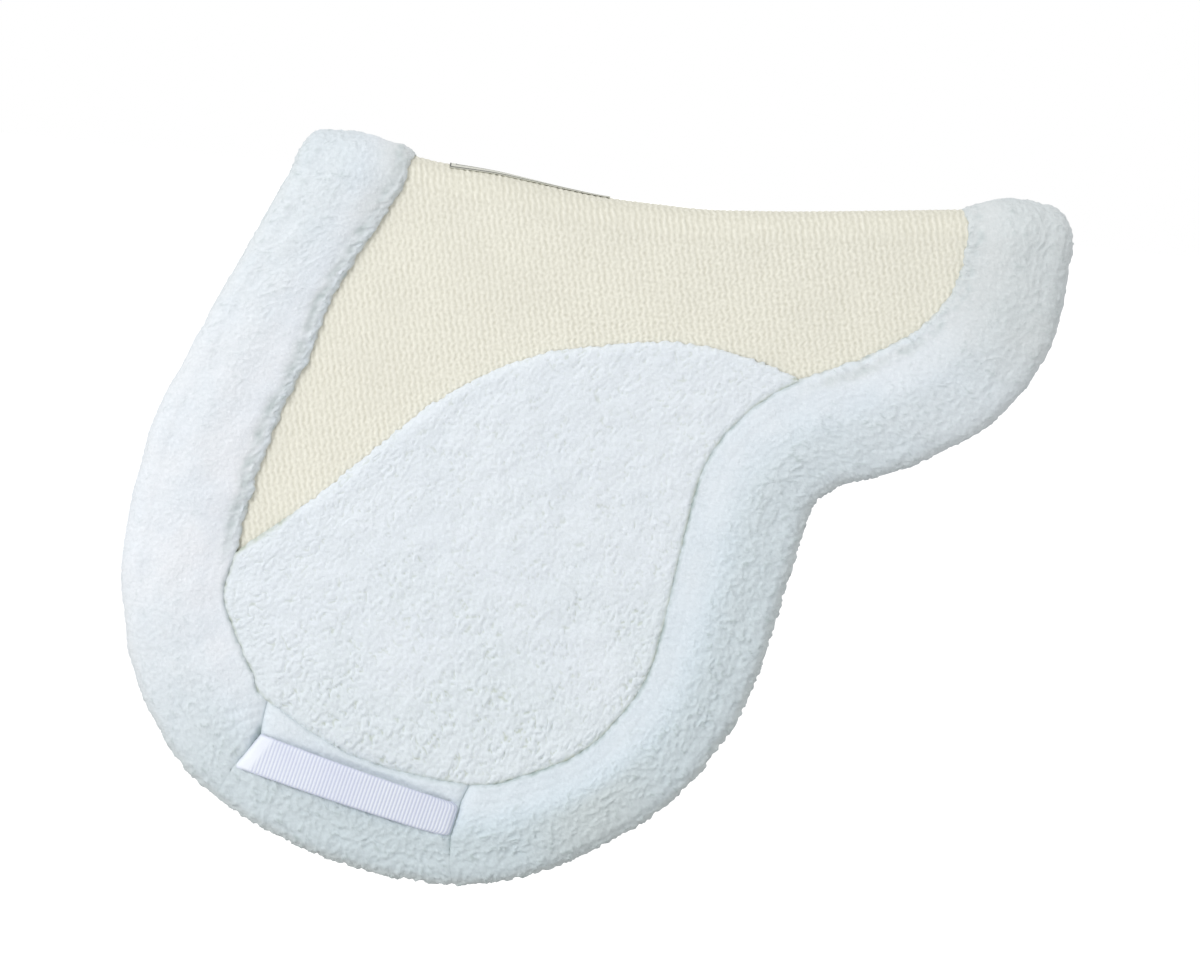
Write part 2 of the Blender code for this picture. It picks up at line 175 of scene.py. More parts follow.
def resample(line: Array, count: int) -> Array:
    """Evenly spaced points along a polyline.

    Args:
        line: Points in order.
        count: How many points to return, the ends included.

    Returns:
        The new points.
    """
    along = travelled(line)
    goals = np.linspace(0.0, along[-1], count)
    return np.stack([np.interp(goals, along, column) for column in line.T], axis=1)


def patch(top: Array, bottom: Array, left: Array, right: Array) -> Array:
    """Grid of points between four edges that meet at their ends.

    Args:
        top: Points of the first row.
        bottom: Points of the last row.
        left: Points of the first column.
        right: Points of the last column.

    Returns:
        Array of rows, columns and coordinates.
    """
    v = np.linspace(0.0, 1.0, len(left))[:, None, None]
    u = np.linspace(0.0, 1.0, len(top))[None, :, None]
    ruled = (1 - v) * top + v * bottom + (1 - u) * left[:, None] + u * right[:, None]
    corners = (1 - u) * (1 - v) * top[0] + u * (1 - v) * top[-1]
    corners = corners + (1 - u) * v * bottom[0] + u * v * bottom[-1]
    return ruled - corners


GRADIENTS = np.array(
    [g for g in itertools.product((-1, 0, 1), repeat=3) if sum(abs(c) for c in g) == 2], np.float32
)


def scrambled(cell: Array, seed: int) -> Array:
    """A random whole number below 2**30 for each cell of a lattice.

    Args:
        cell: Lattice places, one row of whole numbers for each.
        seed: Number of the pattern.

    Returns:
        One number for each place.
    """
    mixed = np.full(len(cell), seed * 40503 + 977, np.uint32)
    for axis, factor in zip(range(cell.shape[1]), (73856093, 19349663, 83492791)):
        mixed = mixed ^ cell[:, axis].astype(np.uint32) * np.uint32(factor)
    mixed = (mixed ^ (mixed >> np.uint32(15))) * np.uint32(2246822519)
    mixed = (mixed ^ (mixed >> np.uint32(13))) * np.uint32(3266489917)
    return (mixed ^ (mixed >> np.uint32(16))) & np.uint32(0x3FFFFFFF)


def grain(points: Array, seed: int) -> Array:
    """Smooth random values, about -0.7 to 0.7, that change over a length of one.

    Args:
        points: Places, one row of two or three for each.
        seed: Number of the pattern.

    Returns:
        One value for each place.
    """
    size = points.shape[1]
    base = np.floor(points).astype(np.int32)
    part = (points - base).astype(np.float32)
    ease = part**3 * (part * (part * 6 - 15) + 10)
    total = np.zeros(len(points), np.float32)
    for corner in itertools.product((0, 1), repeat=size):
        picked = scrambled(base + np.array(corner, np.int32), seed) % np.uint32(len(GRADIENTS))
        direction = GRADIENTS[picked, :size]
        weight = np.where(corner, ease, 1 - ease).prod(axis=1)
        total += weight * (direction * (part - np.array(corner, np.float32))).sum(axis=1)
    return total


def grain_over(cloth: Array, reach: float | Sequence[float], seed: int) -> Array:
    """Smooth random values over a grid of places.

    Args:
        cloth: Rows, columns and two coordinates.
        reach: Length over which the values change, or one for each coordinate.
        seed: Number of the pattern.

    Returns:
        One value at each point.
    """
    return grain(cloth.reshape(-1, 2) / np.asarray(reach), seed).reshape(cloth.shape[:2])


@dataclass(frozen=True)
class Pile:
    """How a fleece's curls stand.

    Args:
        curl_size: Width of one curl.
        curl_height: How far a curl stands above the parting beside it.
        clump_size: Width of the soft swellings that gather several curls.
        clump_height: Height of those swellings.
        seed: Number of its pattern.
        nap_size: Width of the small unevenness on a curl.
        nap_height: Height of that unevenness.
        row_angle: Angle of the rows in which the partings gather.
        row_stretch: How much longer such a row is than it is wide.
        comb: How much longer a curl is than it is wide, along those rows.
        evenness: Share of a curl's height that it has outside those rows.
        wander: How far the curls stray from a straight run, in curls.
        wander_reach: Length over which they stray, in curls.
        row_reach: Length over which the rows of partings come and go, in curls.
        bridge: Height at which tufts bridge a parting, against a curl's.
        bridge_reach: Spacing of those tufts, in curls.
        full: Noise value at which a curl is fully round.
        mean: Height of a curl that counts as level.
        tuft: Share of the height that is in the finer tufts.
        parting_width: Noise value at which a parting's painted shade ends.
        calm: Share of a parting's painted shade that is left where the pile is brushed smooth.
        calm_nap: Share of the small unevenness that is left there.
    """

    curl_size: float
    curl_height: float
    clump_size: float
    clump_height: float
    seed: int
    nap_size: float = 2.8
    nap_height: float = 0.5
    row_angle: float = 0.0
    row_stretch: float = 1.0
    comb: float = 1.0
    evenness: float = 0.35
    wander: float = 0.5
    wander_reach: float = 1.4
    row_reach: float = 2.2
    bridge: float = 0.3
    bridge_reach: float = 0.8
    full: float = 0.46
    mean: float = 0.65
    tuft: float = 0.2
    parting_width: float = 0.13
    calm: float = 0.15
    calm_nap: float = 0.6

    def relief(self, cloth: Array, curliness: Array) -> Arrays:
        """Height of the pile, and the painted shade in its partings.

        Args:
            cloth: Places on the cloth in millimetres, rows, columns and two coordinates.
            curliness: From 0, brushed smooth, to 1, fully curled, for each place.

        Returns:
            The heights in millimetres, and the painted shade in the partings from 0 to 1.
        """
        curly = np.broadcast_to(curliness, cloth.shape[:2])
        size, seed = self.curl_size, self.seed
        cos, sin = math.cos(self.row_angle), math.sin(self.row_angle)
        turned = (cloth.reshape(-1, 2) @ np.array([[cos, -sin], [sin, cos]])).reshape(cloth.shape)
        twist = [grain_over(cloth, self.wander_reach * size, seed + k) for k in (1, 2)]
        combed = turned / [size * self.comb, size] + self.wander * np.stack(twist, axis=-1)
        puff, tuft = (np.abs(grain_over(combed * k, 1.0, seed + 3 + k)) for k in (1, 2))
        bridge = smooth_step(0.5 + 2.2 * grain_over(turned, self.bridge_reach * size, seed + 8))
        puff = np.maximum(puff, self.bridge * bridge)
        rows = turned / [self.row_stretch, 1.0]
        opened = smooth_step(0.5 + 1.5 * grain_over(rows, self.row_reach * size, seed + 6))
        curl = (smooth_step(puff / self.full) - self.mean) * (
            self.evenness + (1 - self.evenness) * opened
        )
        curl = curl + self.tuft * (smooth_step(tuft / 0.5) - 0.5)
        nap = grain_over(turned, (self.nap_size * self.comb, self.nap_size), seed + 7)
        nap = nap * (self.calm_nap + (1 - self.calm_nap) * curly)
        height = self.clump_height * grain_over(cloth, self.clump_size, seed)
        height = height + self.curl_height * curly * curl + self.nap_height * nap
        parting = fade(puff, self.parting_width) * (0.4 * self.evenness + 0.8 * opened)
        return height, parting * (self.calm + (1 - self.calm) * curly)


# The pad's shape


@dataclass(frozen=True)
class PadShape:
    """Outline, layers and fold of the pad, as in the construction.

    Args:
        fold_radius: Radius of the middle of the layers where they bend over the spine.
        panel_half: Half of the thickness of mesh, foam and lining together.
        slot_half: Half of the opening of the border that takes the panel.
        border_half: Half of the border's thickness.
        ridge: Top of the spine, as the outer surface of the mesh.
        outer: Border's outer edge, from withers to cantle.
        inner: Border's crease, with one point for each of the outer edge.
        flap_edge: Upper edge of the flap panel.
        front_seam: Place of the seam at the keeper's front end.
        rear_seam: The same at its rear end.
        flap_front: Place where the flap panel's upper edge meets the front border.
        flap_rear: Place where it meets the rear border.
        flap_margin: How far below its upper edge the flap panel counts as its lower part.
        ridge_samples: Points at which the ridge is read.
        roll_samples: Points at which the roll is read before its rows are spaced evenly.
        crease_samples: The same for the crease.
        flap_samples: The same for the flap panel's upper edge.
    """

    fold_radius: float = 16.0
    panel_half: float = 6.0
    slot_half: float = 6.3
    border_half: float = 15.0
    ridge: SmoothLine = SmoothLine((
        (-300.0, 36.4), (-252.0, 32.5), (-211.5, 29.4), (-185.0, 26.0), (-147.0, 23.3),
        (-118.0, 19.6), (-89.0, 15.8), (-60.0, 12.9), (-20.0, 12.0), (20.0, 12.2),
        (85.0, 17.9), (159.0, 26.4), (210.5, 32.4), (248.0, 34.6), (294.0, 35.6),
    ))
    outer: SmoothLine = SmoothLine((
        (-295.0, 14.0), (-339.6, -85.2), (-359.5, -132.5), (-379.7, -183.7), (-390.0, -236.0),
        (-394.5, -294.6), (-390.5, -328.0), (-380.0, -368.0), (-350.5, -418.8), (-304.5, -462.3),
        (-215.1, -501.0), (-123.5, -512.7), (-64.6, -500.0), (-14.6, -473.5), (35.5, -432.9),
        (70.5, -382.0), (88.6, -334.3), (98.6, -290.0), (108.6, -237.9), (114.5, -209.5),
        (124.0, -194.5), (141.0, -182.6), (166.6, -172.3), (197.1, -156.7), (226.6, -138.2),
        (252.8, -114.0), (274.1, -81.1), (286.0, -43.8), (289.6, 13.4),
    ))
    inner: SmoothLine = SmoothLine((
        (-211.5, 7.4), (-253.8, -76.2), (-268.8, -126.8), (-285.4, -170.0), (-299.5, -222.0),
        (-309.5, -280.0), (-314.5, -311.0), (-303.1, -341.0), (-288.0, -367.7), (-274.6, -387.6),
        (-202.9, -423.8), (-118.8, -435.3), (-77.0, -424.1), (-37.0, -402.5), (-11.4, -373.5),
        (5.8, -343.0), (13.4, -308.3), (19.0, -266.0), (24.6, -220.4), (30.0, -187.5),
        (43.0, -157.0), (67.6, -127.6), (99.0, -105.5), (130.0, -91.5), (158.8, -75.5),
        (183.0, -57.5), (199.0, -36.5), (207.0, -17.0), (210.5, 10.4),
    ))
    flap_edge: Points = (
        (-253.4, -230.7), (-192.6, -170.0), (-156.6, -139.9), (-101.8, -109.2),
        (-45.2, -95.0), (5.4, -88.1), (55.0, -93.5),
    )
    front_seam: float = 9.0
    rear_seam: float = 11.0
    flap_front: float = 5.0
    flap_rear: float = 22.0
    flap_margin: float = 12.0
    ridge_samples: int = 600
    roll_samples: int = 900
    crease_samples: int = 400
    flap_samples: int = 500

    @property
    def quarter(self) -> float:
        """Length of cloth from the top of the fold to where it hangs straight."""
        return self.fold_radius * math.pi / 2

    @property
    def end(self) -> float:
        """Place of the border's end at the cantle."""
        return self.outer.last

    def fold_centre(self, x: Array) -> Array:
        """Height of the fold's centre line at x."""
        line = self.ridge.at(np.linspace(0.0, self.ridge.last, self.ridge_samples))
        return np.interp(x, line[:, 0], line[:, 1]) - self.fold_radius - self.panel_half

    def drop_of(self, x: Array, z: Array) -> Array:
        """Length of cloth from the top of the fold to a hanging point (x, z)."""
        return self.quarter + self.fold_centre(x) - z

    def hang(self, side: Side, x: Array, drop: Array, out: Array | float) -> Array:
        """Points of the hanging pad.

        Args:
            side: The half.
            x: Place along the spine.
            drop: Length of cloth from the top of the fold; below zero it is on the other side.
            out: Distance outward from the middle of the layers.

        Returns:
            Array like x with three coordinates for each point.
        """
        turn = np.clip(drop / self.fold_radius, -math.pi / 2, math.pi / 2)
        below = np.maximum(drop - self.quarter, 0.0)
        radius = self.fold_radius + out
        y = side.value * radius * np.sin(turn)
        z = self.fold_centre(x) + radius * np.cos(turn) - below
        return np.stack(np.broadcast_arrays(x, y, z), axis=-1)

    def stations(self, places: Array) -> tuple[Array, Array, Array]:
        """Crease points, unit directions outward and widths of the border at its places."""
        inner = self.inner.at(places)
        across = self.outer.at(places) - inner
        width = np.linalg.norm(across, axis=1)
        return inner, across / width[:, None], width

    def even_places(self, start: float, stop: float, step: float) -> Array:
        """Places from start to stop, about step apart along the border's middle."""
        fine = np.linspace(start, stop, self.roll_samples)
        along = travelled(self.roll_middle(fine))
        count = max(2, round(along[-1] / step)) + 1
        return np.interp(np.linspace(0.0, along[-1], count), along, fine)

    def roll_middle(self, places: Array) -> Array:
        """Points halfway between the crease and the outer edge."""
        inner, outward, width = self.stations(places)
        return inner + outward * width[:, None] / 2

    def place_length(self, place: float) -> float:
        """Length of the roll's middle for one unit of place."""
        nearby = 0.01
        middle = self.roll_middle(np.array([place - nearby, place + nearby]))
        return float(np.linalg.norm(middle[1] - middle[0])) / (2 * nearby)

    def crease_level(self, x: Array) -> Array:
        """Height just under the flap panel's upper edge at x."""
        return profile(self.flap_edge, x) - self.flap_margin

    def crease(self, start: float, stop: float, count: int, tuck: float) -> Array:
        """Points along the crease, moved outward by tuck."""
        inner, outward, _ = self.stations(np.linspace(start, stop, self.crease_samples))
        return resample(inner + outward * tuck, count)

    def flap_line(self, start: Array, end: Array, count: int, lower: float) -> Array:
        """The flap panel's upper edge between two points, lowered by an amount."""
        middle = [(x, z - lower) for x, z in self.flap_edge]
        line = SmoothLine((tuple(start), *middle, tuple(end)))
        return resample(line.at(np.linspace(0.0, line.last, self.flap_samples)), count)


SHAPE = PadShape()


# Meshes


@dataclass
class MeshBuilder:
    """Collects grids of points and their faces for one piece.

    Args:
        name: Name of the piece.
    """

    name: str
    points: list[Array] = field(default_factory=list)
    places: list[Array] = field(default_factory=list)
    tones: dict[str, list[Array]] = field(
        default_factory=lambda: {HOLLOW: [], CURL_TONE_AND_SHADE: [], PAINTED_SHADE: []}
    )
    faces: list[tuple[int, ...]] = field(default_factory=list)
    count: int = 0

    def grid(
        self, points: Array, place: Array, hollow: Array | float = 0.0,
        closed: bool = False, flip: bool = False, curled: Array | float = 0.0,
        dusted: Array | float = 0.0,
    ) -> Array:
        """Add a grid of points and the faces between them.

        Args:
            points: Rows, columns and coordinates in millimetres.
            place: The cloth's own coordinates for each point, in millimetres.
            hollow: Painted shade in partings, creases and gaps at each point, from 0 to 1; on the
                label, its printed lines.
            closed: Whether the last column joins the first.
            flip: Whether the faces look the other way.
            curled: How much of the curled tone the pile takes at each point, from 0 to 1; that tone
                is partly the curled pile's own and partly painted shade.
            dusted: How much painted shade the pile takes at each point, from 0 to 1.

        Returns:
            Index of each point.
        """
        rows, columns = points.shape[:2]
        index = np.arange(self.count, self.count + rows * columns).reshape(rows, columns)
        self.points.append(points.reshape(-1, 3))
        self.places.append(np.broadcast_to(place, points.shape).reshape(-1, 3))
        for name, tone in ((HOLLOW, hollow), (CURL_TONE_AND_SHADE, curled), (PAINTED_SHADE, dusted)):
            self.tones[name].append(np.broadcast_to(tone, (rows, columns)).reshape(-1))
        self.count += rows * columns
        ring = np.concatenate([index, index[:, :1]], axis=1) if closed else index
        self.strip(ring, flip)
        return index

    def strip(self, index: Array, flip: bool = False) -> None:
        """Add the faces between the rows of an array of point indices."""
        a, b, c, d = index[:-1, :-1], index[:-1, 1:], index[1:, 1:], index[1:, :-1]
        corners = (a, d, c, b) if flip else (a, b, c, d)
        self.faces.extend(map(tuple, np.stack(corners, axis=-1).reshape(-1, 4).tolist()))

    def close_round(self, upper: Array, lower: Array) -> None:
        """Join the four edges of two grids of the same size, one above the other."""
        for top, under in (
            (upper[0], lower[0]), (lower[-1], upper[-1]),
            (lower[:, 0], upper[:, 0]), (upper[:, -1], lower[:, -1]),
        ):
            self.strip(np.stack([top, under]), flip=True)

    def close_between(self, long: Array, short: Array) -> None:
        """Add faces between two rows of indices of unlike length that run the same way."""
        match = np.round(np.linspace(0, len(short) - 1, len(long))).astype(int)
        for i in range(len(long) - 1):
            face = [int(long[i]), int(long[i + 1]), int(short[match[i + 1]]), int(short[match[i]])]
            self.faces.append(tuple(dict.fromkeys(face)))

    def build(self, material: Material) -> Piece:
        """Make the object, with its faces looking outward and its own coordinates stored.

        Args:
            material: The piece's material.

        Returns:
            The new object, linked to the scene.
        """
        mesh = bpy.data.meshes.new(self.name)
        mesh.from_pydata((np.concatenate(self.points) * MM).tolist(), [], self.faces)
        self._turn_outward(mesh)
        mesh.shade_smooth()
        mesh.set_sharp_from_angle(angle=SHARP_ANGLE)
        place = mesh.attributes.new(PLACE, "FLOAT_VECTOR", "POINT")
        places = (np.concatenate(self.places) * MM).astype(np.float32)
        place.data.foreach_set("vector", places.ravel())
        for name, values in self.tones.items():
            attribute = mesh.attributes.new(name, "FLOAT", "POINT")
            attribute.data.foreach_set("value", np.concatenate(values).astype(np.float32))
        mesh.materials.append(material)
        log.info("%s: %d faces", self.name, len(mesh.polygons))
        return add_object(self.name, mesh)

    @staticmethod
    def _turn_outward(mesh: bpy.types.Mesh) -> None:
        """Flip all faces of a closed mesh if its volume comes out negative."""
        mesh.calc_loop_triangles()
        co = np.zeros(len(mesh.vertices) * 3)
        mesh.vertices.foreach_get("co", co)
        corners = np.zeros(len(mesh.loop_triangles) * 3, np.int32)
        mesh.loop_triangles.foreach_get("vertices", corners)
        a, b, c = co.reshape(-1, 3)[corners.reshape(-1, 3)].transpose(1, 0, 2)
        if (a * np.cross(b, c)).sum() < 0:
            mesh.flip_normals()


def add_object(name: str, data: bpy.types.ID) -> Piece:
    """New object of the scene."""
    obj = bpy.data.objects.new(name, data)
    bpy.context.scene.collection.objects.link(obj)
    return obj


def grid_normals(points: Array) -> Array:
    """Unit normals of a grid of points, from its rows and columns."""
    normal = np.cross(np.gradient(points, axis=0), np.gradient(points, axis=1))
    return normal / np.maximum(np.linalg.norm(normal, axis=-1, keepdims=True), 1e-9)


# Materials


@dataclass
class Graph:
    """Adds nodes to a tree and joins them.

    Args:
        tree: The node tree of a material or a group.
    """

    tree: Tree

    def add(self, kind: str, inputs: dict[Any, Any] | None = None, **settings: Any) -> Node:
        """Add a node.

        Args:
            kind: Blender's name for the node.
            inputs: Value or socket for each of its inputs that isn't left as it is.
            settings: The node's own settings.

        Returns:
            The new node.
        """
        node = self.tree.nodes.new(kind)
        for key, value in settings.items():
            setattr(node, key, value)
        self.fill(node, inputs or {})
        return node

    def fill(self, node: Node, inputs: dict[Any, Any]) -> None:
        """Give inputs of a node their value or socket."""
        for key, value in inputs.items():
            if isinstance(value, Socket):
                self.tree.links.new(value, node.inputs[key])
            else:
                node.inputs[key].default_value = value

    def math(self, operation: str, *values: Any) -> Socket:
        """Result of a math node."""
        return self.add("ShaderNodeMath", dict(enumerate(values)), operation=operation).outputs[0]

    def scaled(self, vector: Socket, factor: Any) -> Socket:
        """A vector times a number or socket."""
        inputs = {0: vector, "Scale": factor}
        return self.add("ShaderNodeVectorMath", inputs, operation="SCALE").outputs[0]

    def ramp(self, value: Any, low: float, high: float) -> Socket:
        """A value mapped from low..high to 0..1, clipped and eased."""
        inputs = {0: value, 1: low, 2: high}
        return self.add("ShaderNodeMapRange", inputs, interpolation_type="SMOOTHSTEP").outputs[0]

    def mix(self, factor: Any, first: Any, second: Any, blend: str = "MIX") -> Socket:
        """Colour between two colours."""
        inputs = {0: factor, 6: first, 7: second}
        return self.add("ShaderNodeMix", inputs, data_type="RGBA", blend_type=blend).outputs[2]

    def shadowed(self, tone: Any, depth: float, colour: Any, tint: Colour) -> Socket:
        """Painted shade: a colour multiplied by a tint, up to depth, where a tone is dark."""
        gap = self.math("MULTIPLY", self.math("SUBTRACT", 1.0, tone), depth)
        return self.mix(gap, colour, (*tint, 1.0), "MULTIPLY")

    def seen(self) -> Socket:
        """One where the camera looks, directly or by a reflection or through glass."""
        path = self.add("ShaderNodeLightPath")
        rays = self.math("MAXIMUM", path.outputs["Is Camera Ray"], path.outputs["Is Glossy Ray"])
        return self.math("MAXIMUM", rays, path.outputs["Is Transmission Ray"])


def socket_group(
    name: str, inputs: dict[str, tuple[str, Any]], outputs: dict[str, str]
) -> tuple[Graph, Node, Node]:
    """New node group with named sockets.

    Args:
        name: Name of the group.
        inputs: Socket type and default value for each input.
        outputs: Socket type for each output.

    Returns:
        The group's graph, its input node and its output node.
    """
    group = bpy.data.node_groups.new(name, "ShaderNodeTree")
    for label, (kind, value) in inputs.items():
        socket = group.interface.new_socket(label, in_out="INPUT", socket_type=kind)
        if value is not None:
            socket.default_value = value
    for label, kind in outputs.items():
        group.interface.new_socket(label, in_out="OUTPUT", socket_type=kind)
    graph = Graph(group)
    return graph, graph.add("NodeGroupInput"), graph.add("NodeGroupOutput")


def fibre_group() -> Tree:
    """Fine fibres of a fleece or a yarn: their height, and how light they are, which sets the
    painted shade between them.

    Returns:
        A group with Place and Grain inputs, and Height and Tone outputs.
    """
    graph, given, result = socket_group(
        "fibres",
        {"Place": ("NodeSocketVector", None), "Grain": ("NodeSocketFloat", 0.001)},
        {"Height": "NodeSocketFloat", "Tone": "NodeSocketFloat"},
    )
    size = graph.math("DIVIDE", 1.0, given.outputs["Grain"])
    place = graph.scaled(given.outputs["Place"], size)
    wisps = graph.add("ShaderNodeTexNoise", {
        "Vector": place, "Scale": 1.0, "Detail": 4.0, "Roughness": 0.65, "Distortion": 1.4,
    })
    tuft_place = graph.scaled(place, 0.6)
    tufts = graph.add(
        "ShaderNodeTexVoronoi", {"Vector": tuft_place, "Scale": 1.0}, feature="SMOOTH_F1"
    )
    rounded = graph.math("SUBTRACT", 1.0, tufts.outputs["Distance"])
    height = graph.math("MULTIPLY_ADD", rounded, 0.6, wisps.outputs[0])
    graph.fill(result, {"Height": height, "Tone": graph.ramp(height, 0.55, 1.35)})
    return graph.tree


def drift_group() -> Tree:
    """Broad, uneven tone of a cloth.

    Returns:
        A group with Place, Size, Light and Dark inputs, and a Color output.
    """
    graph, given, result = socket_group(
        "tone_drift",
        {
            "Place": ("NodeSocketVector", None), "Size": ("NodeSocketFloat", 0.05),
            "Light": ("NodeSocketColor", (1, 1, 1, 1)),
            "Dark": ("NodeSocketColor", (0.9, 0.9, 0.9, 1)),
        },
        {"Color": "NodeSocketColor"},
    )
    size = graph.math("DIVIDE", 1.0, given.outputs["Size"])
    place = graph.scaled(given.outputs["Place"], size)
    cloud = graph.add(
        "ShaderNodeTexNoise", {"Vector": place, "Scale": 1.0, "Detail": 3.0, "Roughness": 0.6}
    )
    factor = graph.ramp(cloud.outputs[0], 0.35, 0.68)
    colour = graph.mix(factor, given.outputs["Light"], given.outputs["Dark"])
    graph.fill(result, {"Color": colour})
    return graph.tree


def thread_group() -> Tree:
    """Woven or knitted threads that cross each other.

    Returns:
        A group with Place (along the first axis, across the second), Pitch and Width inputs,
        and Height and Tone outputs.
    """
    graph, given, result = socket_group(
        "threads",
        {
            "Place": ("NodeSocketVector", None), "Pitch": ("NodeSocketFloat", 0.001),
            "Width": ("NodeSocketFloat", 0.001),
        },
        {"Height": "NodeSocketFloat", "Tone": "NodeSocketFloat"},
    )
    split = graph.add("ShaderNodeSeparateXYZ", {0: given.outputs["Place"]})
    waves = [
        graph.math("SINE", graph.math(
            "DIVIDE", graph.math("MULTIPLY", split.outputs[axis], 2 * math.pi), given.outputs[size]
        ))
        for axis, size in enumerate(("Pitch", "Width"))
    ]
    height = graph.math("MULTIPLY_ADD", graph.math("MULTIPLY", *waves), 0.5, 0.5)
    graph.fill(result, {"Height": height, "Tone": graph.ramp(height, 0.1, 0.8)})
    return graph.tree


@dataclass
class Effects:
    """The node groups that several finishes share, each made once."""

    fibres: Tree = field(default_factory=fibre_group)
    drift: Tree = field(default_factory=drift_group)
    threads: Tree = field(default_factory=thread_group)


@dataclass(frozen=True)
class Finish:
    """A cloth finish.

    Args:
        name: Name of the material.
        light: Colour of its lighter places.
        dark: Colour of its darker places.
        hollow: Colour of the painted shade in its partings, creases and gaps and between its fibres
            and threads; on the label, the colour of its printed lines.
        curled: Colour of its light places where the pile is fully curled, partly the curled pile's
            own tone and partly painted shade, or nothing.
        dusted: Colour of the painted shade on the pile, or nothing.
        hollow_depth: How strongly that painted shade, and the label's print, take that colour.
        fibre: Width of a fibre tuft or yarn, in metres.
        fibre_depth: Height of the fibres, in metres.
        fibre_tone: How much painted shade darkens the gaps between fibres.
        drift: Size of its uneven tone, in metres.
        roughness: Roughness of its surface.
        sheen: Weight of the soft shine of its fibre ends.
        sheen_spread: Roughness of that shine.
        specular: Level of the plain reflection.
        threads: Pitch along and across of a weave, in metres, or nothing.
        thread_depth: Height of the weave, in metres.
        thread_tone: How much painted shade darkens the gaps between threads.
    """

    name: str
    light: Colour
    dark: Colour
    hollow: Colour
    curled: Colour | None = None
    dusted: Colour | None = None
    hollow_depth: float = 0.6
    fibre: float = 0.0011
    fibre_depth: float = 0.0006
    fibre_tone: float = 0.25
    drift: float = 0.05
    roughness: float = 0.95
    sheen: float = 0.15
    sheen_spread: float = 0.6
    specular: float = 0.2
    threads: Pair | None = None
    thread_depth: float = 0.0002
    thread_tone: float = 0.3

    def material(self, effects: Effects) -> Material:
        """Make the material.

        Args:
            effects: The shared node groups.

        Returns:
            The new material.
        """
        material = bpy.data.materials.new(self.name)
        material.use_nodes = True
        graph = Graph(material.node_tree)
        shader = material.node_tree.nodes["Principled BSDF"]
        place = graph.add("ShaderNodeAttribute", attribute_name=PLACE).outputs["Vector"]
        parting = graph.add("ShaderNodeAttribute", attribute_name=HOLLOW).outputs["Fac"]
        grain_inputs = {"Place": place, "Grain": self.fibre}
        fibres = graph.add("ShaderNodeGroup", grain_inputs, node_tree=effects.fibres)
        drift_inputs = {
            "Place": place, "Size": self.drift, "Light": (*self.light, 1.0),
            "Dark": (*self.dark, 1.0),
        }
        drift = graph.add("ShaderNodeGroup", drift_inputs, node_tree=effects.drift)
        colour = drift.outputs["Color"]
        # Tints: the curled one is partly the curled pile's own tone and partly painted shade; the
        # other is painted shade.
        for name, tint in ((CURL_TONE_AND_SHADE, self.curled), (PAINTED_SHADE, self.dusted)):
            if tint:
                amount = graph.add("ShaderNodeAttribute", attribute_name=name).outputs["Fac"]
                colour = graph.mix(amount, colour, (*tint, 1.0))
        # Painted shade in partings, creases and gaps; on the label, its printed lines.
        sunk = graph.math("MULTIPLY", parting, self.hollow_depth)
        colour = graph.mix(sunk, colour, (*self.hollow, 1.0))
        colour = graph.shadowed(fibres.outputs["Tone"], self.fibre_tone, colour, self.hollow)
        normal = graph.add(
            "ShaderNodeBump",
            {"Strength": 1.0, "Distance": self.fibre_depth, "Height": fibres.outputs["Height"]},
        ).outputs[0]
        if self.threads:
            colour, normal = self._weave(graph, effects, place, colour, normal)
        graph.fill(shader, {
            "Base Color": colour, "Normal": normal, "Roughness": self.roughness,
            "Sheen Weight": self.sheen, "Sheen Roughness": self.sheen_spread,
            "Specular IOR Level": self.specular,
        })
        return material

    def _weave(
        self, graph: Graph, effects: Effects, place: Any, colour: Any, normal: Any
    ) -> tuple[Socket, Socket]:
        """Add the weave to a colour and a normal."""
        inputs = {"Place": place, "Pitch": self.threads[0], "Width": self.threads[1]}
        threads = graph.add("ShaderNodeGroup", inputs, node_tree=effects.threads)
        colour = graph.shadowed(threads.outputs["Tone"], self.thread_tone, colour, self.hollow)
        bump = graph.add("ShaderNodeBump", {
            "Strength": 1.0, "Distance": self.thread_depth,
            "Height": threads.outputs["Height"], "Normal": normal,
        })
        return colour, bump.outputs[0]


# Its curled colour is partly the curled pile's own tone and partly painted shade; its second tint,
# (0.62, 0.63, 0.58), is painted shade.
BORDER_FLEECE = Finish(
    "border_fleece", (0.94, 0.95, 0.99), (0.89, 0.92, 0.975), (0.42, 0.50, 0.49),
    curled=(0.695, 0.80, 0.865), dusted=(0.62, 0.63, 0.58), fibre=0.0017, fibre_depth=0.0007,
    fibre_tone=0.16,
)
FLAP_SHERPA = Finish(
    "flap_sherpa", (0.89, 0.93, 1.0), (0.84, 0.885, 0.96), (0.51, 0.56, 0.45),
    curled=(0.81, 0.87, 0.92), hollow_depth=0.7, fibre=0.0017, fibre_depth=0.0007,
    fibre_tone=0.16,
)
KNIT_MESH = Finish(
    "knit_mesh", (0.905, 0.89, 0.795), (0.87, 0.855, 0.765), (0.71, 0.695, 0.60),
    hollow_depth=1.0, fibre=0.0008, fibre_depth=0.0002, fibre_tone=0.22, roughness=0.85,
    sheen=0.05,
)
LINING_FLEECE = Finish(
    "lining_fleece", (0.86, 0.89, 0.90), (0.82, 0.85, 0.86), (0.62, 0.66, 0.62),
)
FOAM = Finish(
    "foam", (0.86, 0.84, 0.76), (0.80, 0.78, 0.69), (0.6, 0.57, 0.48), fibre=0.0016,
    fibre_depth=0.0004, sheen=0.0,
)
WADDING = Finish(
    "polyester_filler", (0.88, 0.88, 0.88), (0.82, 0.82, 0.82), (0.6, 0.6, 0.6), fibre=0.003,
)
